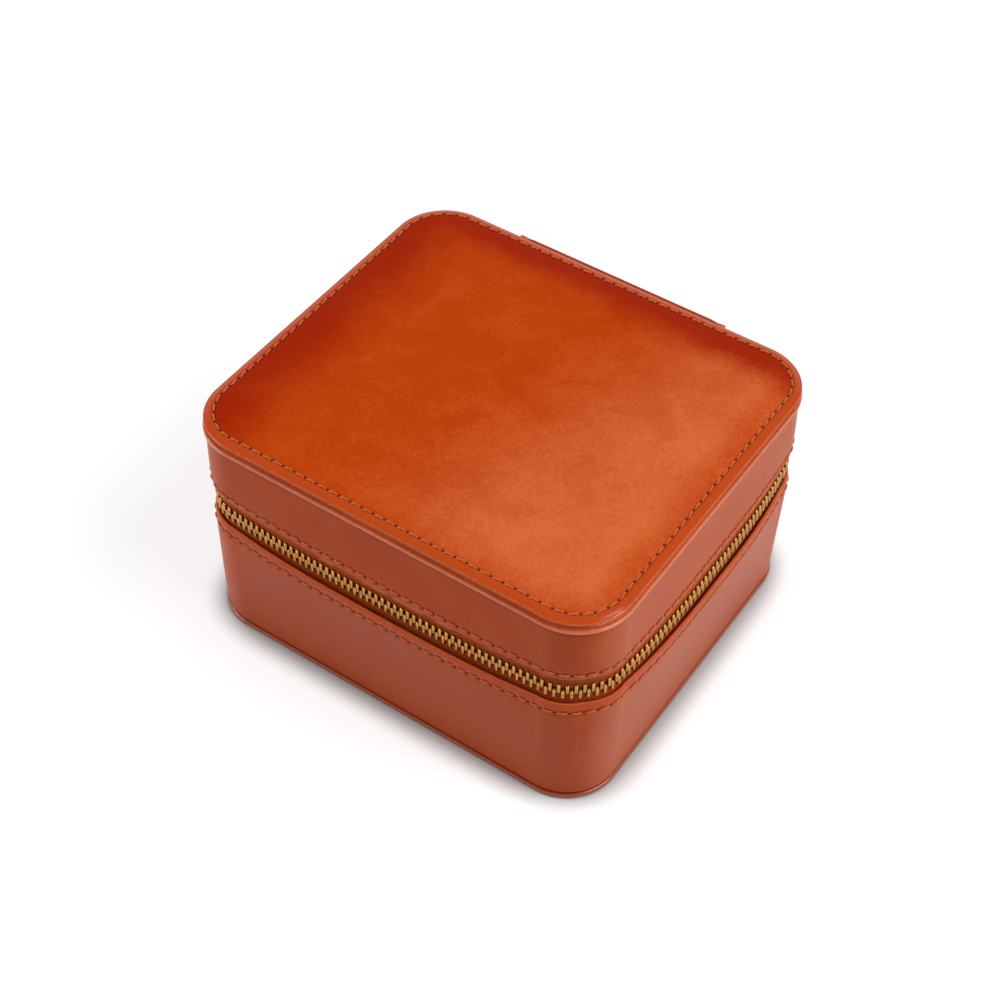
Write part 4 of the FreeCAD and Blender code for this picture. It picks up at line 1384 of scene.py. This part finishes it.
class CASE_OT_stage(bpy.types.Operator):
    """Pale floor, soft light, white surroundings and the camera"""

    bl_idname = "case.stage"
    bl_label = "Stage"

    def execute(self, context):
        settings = context.scene.case_stage
        self.floor()
        self.world(context, settings)
        self.lamp("Key", place=(1.15, 0.25, 1.35), size=1.2, power=settings.key)
        self.lamp("Fill", place=(-1.25, -0.75, 0.8), size=1.0, power=settings.fill)
        self.camera(context, settings)
        context.scene.view_settings.view_transform = "Standard"
        return {"FINISHED"}

    def floor(self):
        """Floor that stays white away from the case and darkens close to it, from the lamps' shadow and from a painted
        contact shadow where its glow fades.
        """
        half = 3.0
        mesh = bpy.data.meshes.new("floor")
        mesh.from_pydata([(-half, -half, 0), (half, -half, 0), (half, half, 0), (-half, half, 0)], [], [(0, 1, 2, 3)])
        floor = place_in_scene("floor", mesh)
        floor.location.z = -0.05 * MM
        tree, shader = start_material("pale_floor", Roughness=0.9, Specular_IOR_Level=0.0, Emission_Strength=1.0)
        shade = mix(noise(object_point(tree), 8.0, 2.0), (0.44, 0.435, 0.43), (0.47, 0.465, 0.46))
        # Ambient occlusion fades the glow near the case: a painted contact shadow.
        near = add(tree, "ShaderNodeAmbientOcclusion", {"Distance": 14 * MM}, samples=16).outputs["AO"]
        clear = times(ramp(near, 0.45, 0.9), self.seen(tree))
        glow = mix(clear, (0.0, 0.0, 0.0), (0.68, 0.68, 0.68))
        join_all(shader, Base_Color=shade, Emission_Color=glow)
        mesh.materials.append(bpy.data.materials["pale_floor"])

    def world(self, context, settings):
        """Even light from all round; the camera and reflections see bright walls and a dim ceiling."""
        world = bpy.data.worlds.new("studio")
        world.use_nodes = True
        context.scene.world = world
        tree = world.node_tree
        way = axes(add(tree, "ShaderNodeTexCoord").outputs["Generated"])
        walls = ramp(way[2], 0.65, 0.35, settings.ceiling, 1.0)
        strength = plus(times(self.seen(tree), minus(walls, settings.sky)), settings.sky)
        join_all(tree.nodes["Background"].inputs, Color=(1.0, 1.0, 1.0, 1.0), Strength=strength)

    def seen(self, tree):
        """One where the camera, a reflection or glass looks straight at the surroundings."""
        path = add(tree, "ShaderNodeLightPath").outputs
        return larger(path["Is Camera Ray"], larger(path["Is Glossy Ray"], path["Is Transmission Ray"]))

    def lamp(self, name, place, size, power):
        light = bpy.data.lights.new(name, "AREA")
        light.shape = "DISK"
        light.size = size
        light.energy = power
        lamp = place_in_scene(name, light)
        lamp.location = place
        aim = Vector((0.0, 0.0, 0.04)) - Vector(place)
        lamp.rotation_euler = aim.to_track_quat("-Z", "Y").to_euler()

    def camera(self, context, settings):
        a, e, tilt = settings.azimuth, settings.elevation, settings.roll
        back = Vector((math.sin(a) * math.cos(e), -math.cos(a) * math.cos(e), math.sin(e)))
        right = Vector((math.cos(a), math.sin(a), 0.0))
        up = back.cross(right)
        right, up = right * math.cos(tilt) + up * math.sin(tilt), up * math.cos(tilt) - right * math.sin(tilt)
        data = bpy.data.cameras.new("camera")
        data.sensor_width = 36.0
        data.lens = settings.lens
        camera = place_in_scene("camera", data)
        matrix = Matrix((right, up, back)).transposed().to_4x4()
        matrix.translation = Vector(settings.target) + back * settings.distance
        camera.matrix_world = matrix
        context.scene.camera = camera


class CASE_PT_panel(bpy.types.Panel):
    """Sidebar list of the case's pieces"""

    bl_idname = "CASE_PT_panel"
    bl_label = "Watch case"
    bl_space_type = "VIEW_3D"
    bl_region_type = "UI"
    bl_category = "Watch case"

    def draw(self, context):
        for operator in OPERATORS:
            self.layout.operator(operator.bl_idname)
        for name, kind in GROUPS.items():
            for key in kind.__annotations__:
                self.layout.prop(getattr(context.scene, name), key)


GROUPS = {"case_sizes": CaseSizes, "case_colours": CaseColours, "case_stage": StageSettings}
OPERATORS = (
    CASE_OT_boards,
    CASE_OT_top_panel,
    CASE_OT_piping,
    CASE_OT_walls,
    CASE_OT_bottom,
    CASE_OT_zip,
    CASE_OT_slider,
    CASE_OT_spine,
    CASE_OT_lining,
    CASE_OT_lid_pad,
    CASE_OT_cushions,
    CASE_OT_stage,
)
CLASSES = (*GROUPS.values(), *OPERATORS, CASE_PT_panel)


def register():
    for cls in CLASSES:
        bpy.utils.register_class(cls)
    for name, kind in GROUPS.items():
        setattr(bpy.types.Scene, name, PointerProperty(type=kind))


def unregister():
    for name in GROUPS:
        delattr(bpy.types.Scene, name)
    for cls in reversed(CLASSES):
        bpy.utils.unregister_class(cls)


def main():
    register()
    make_materials()
    for operator in OPERATORS:
        category, name = operator.bl_idname.split(".")
        getattr(getattr(bpy.ops, category), name)()


if __name__ == "__main__":
    main()
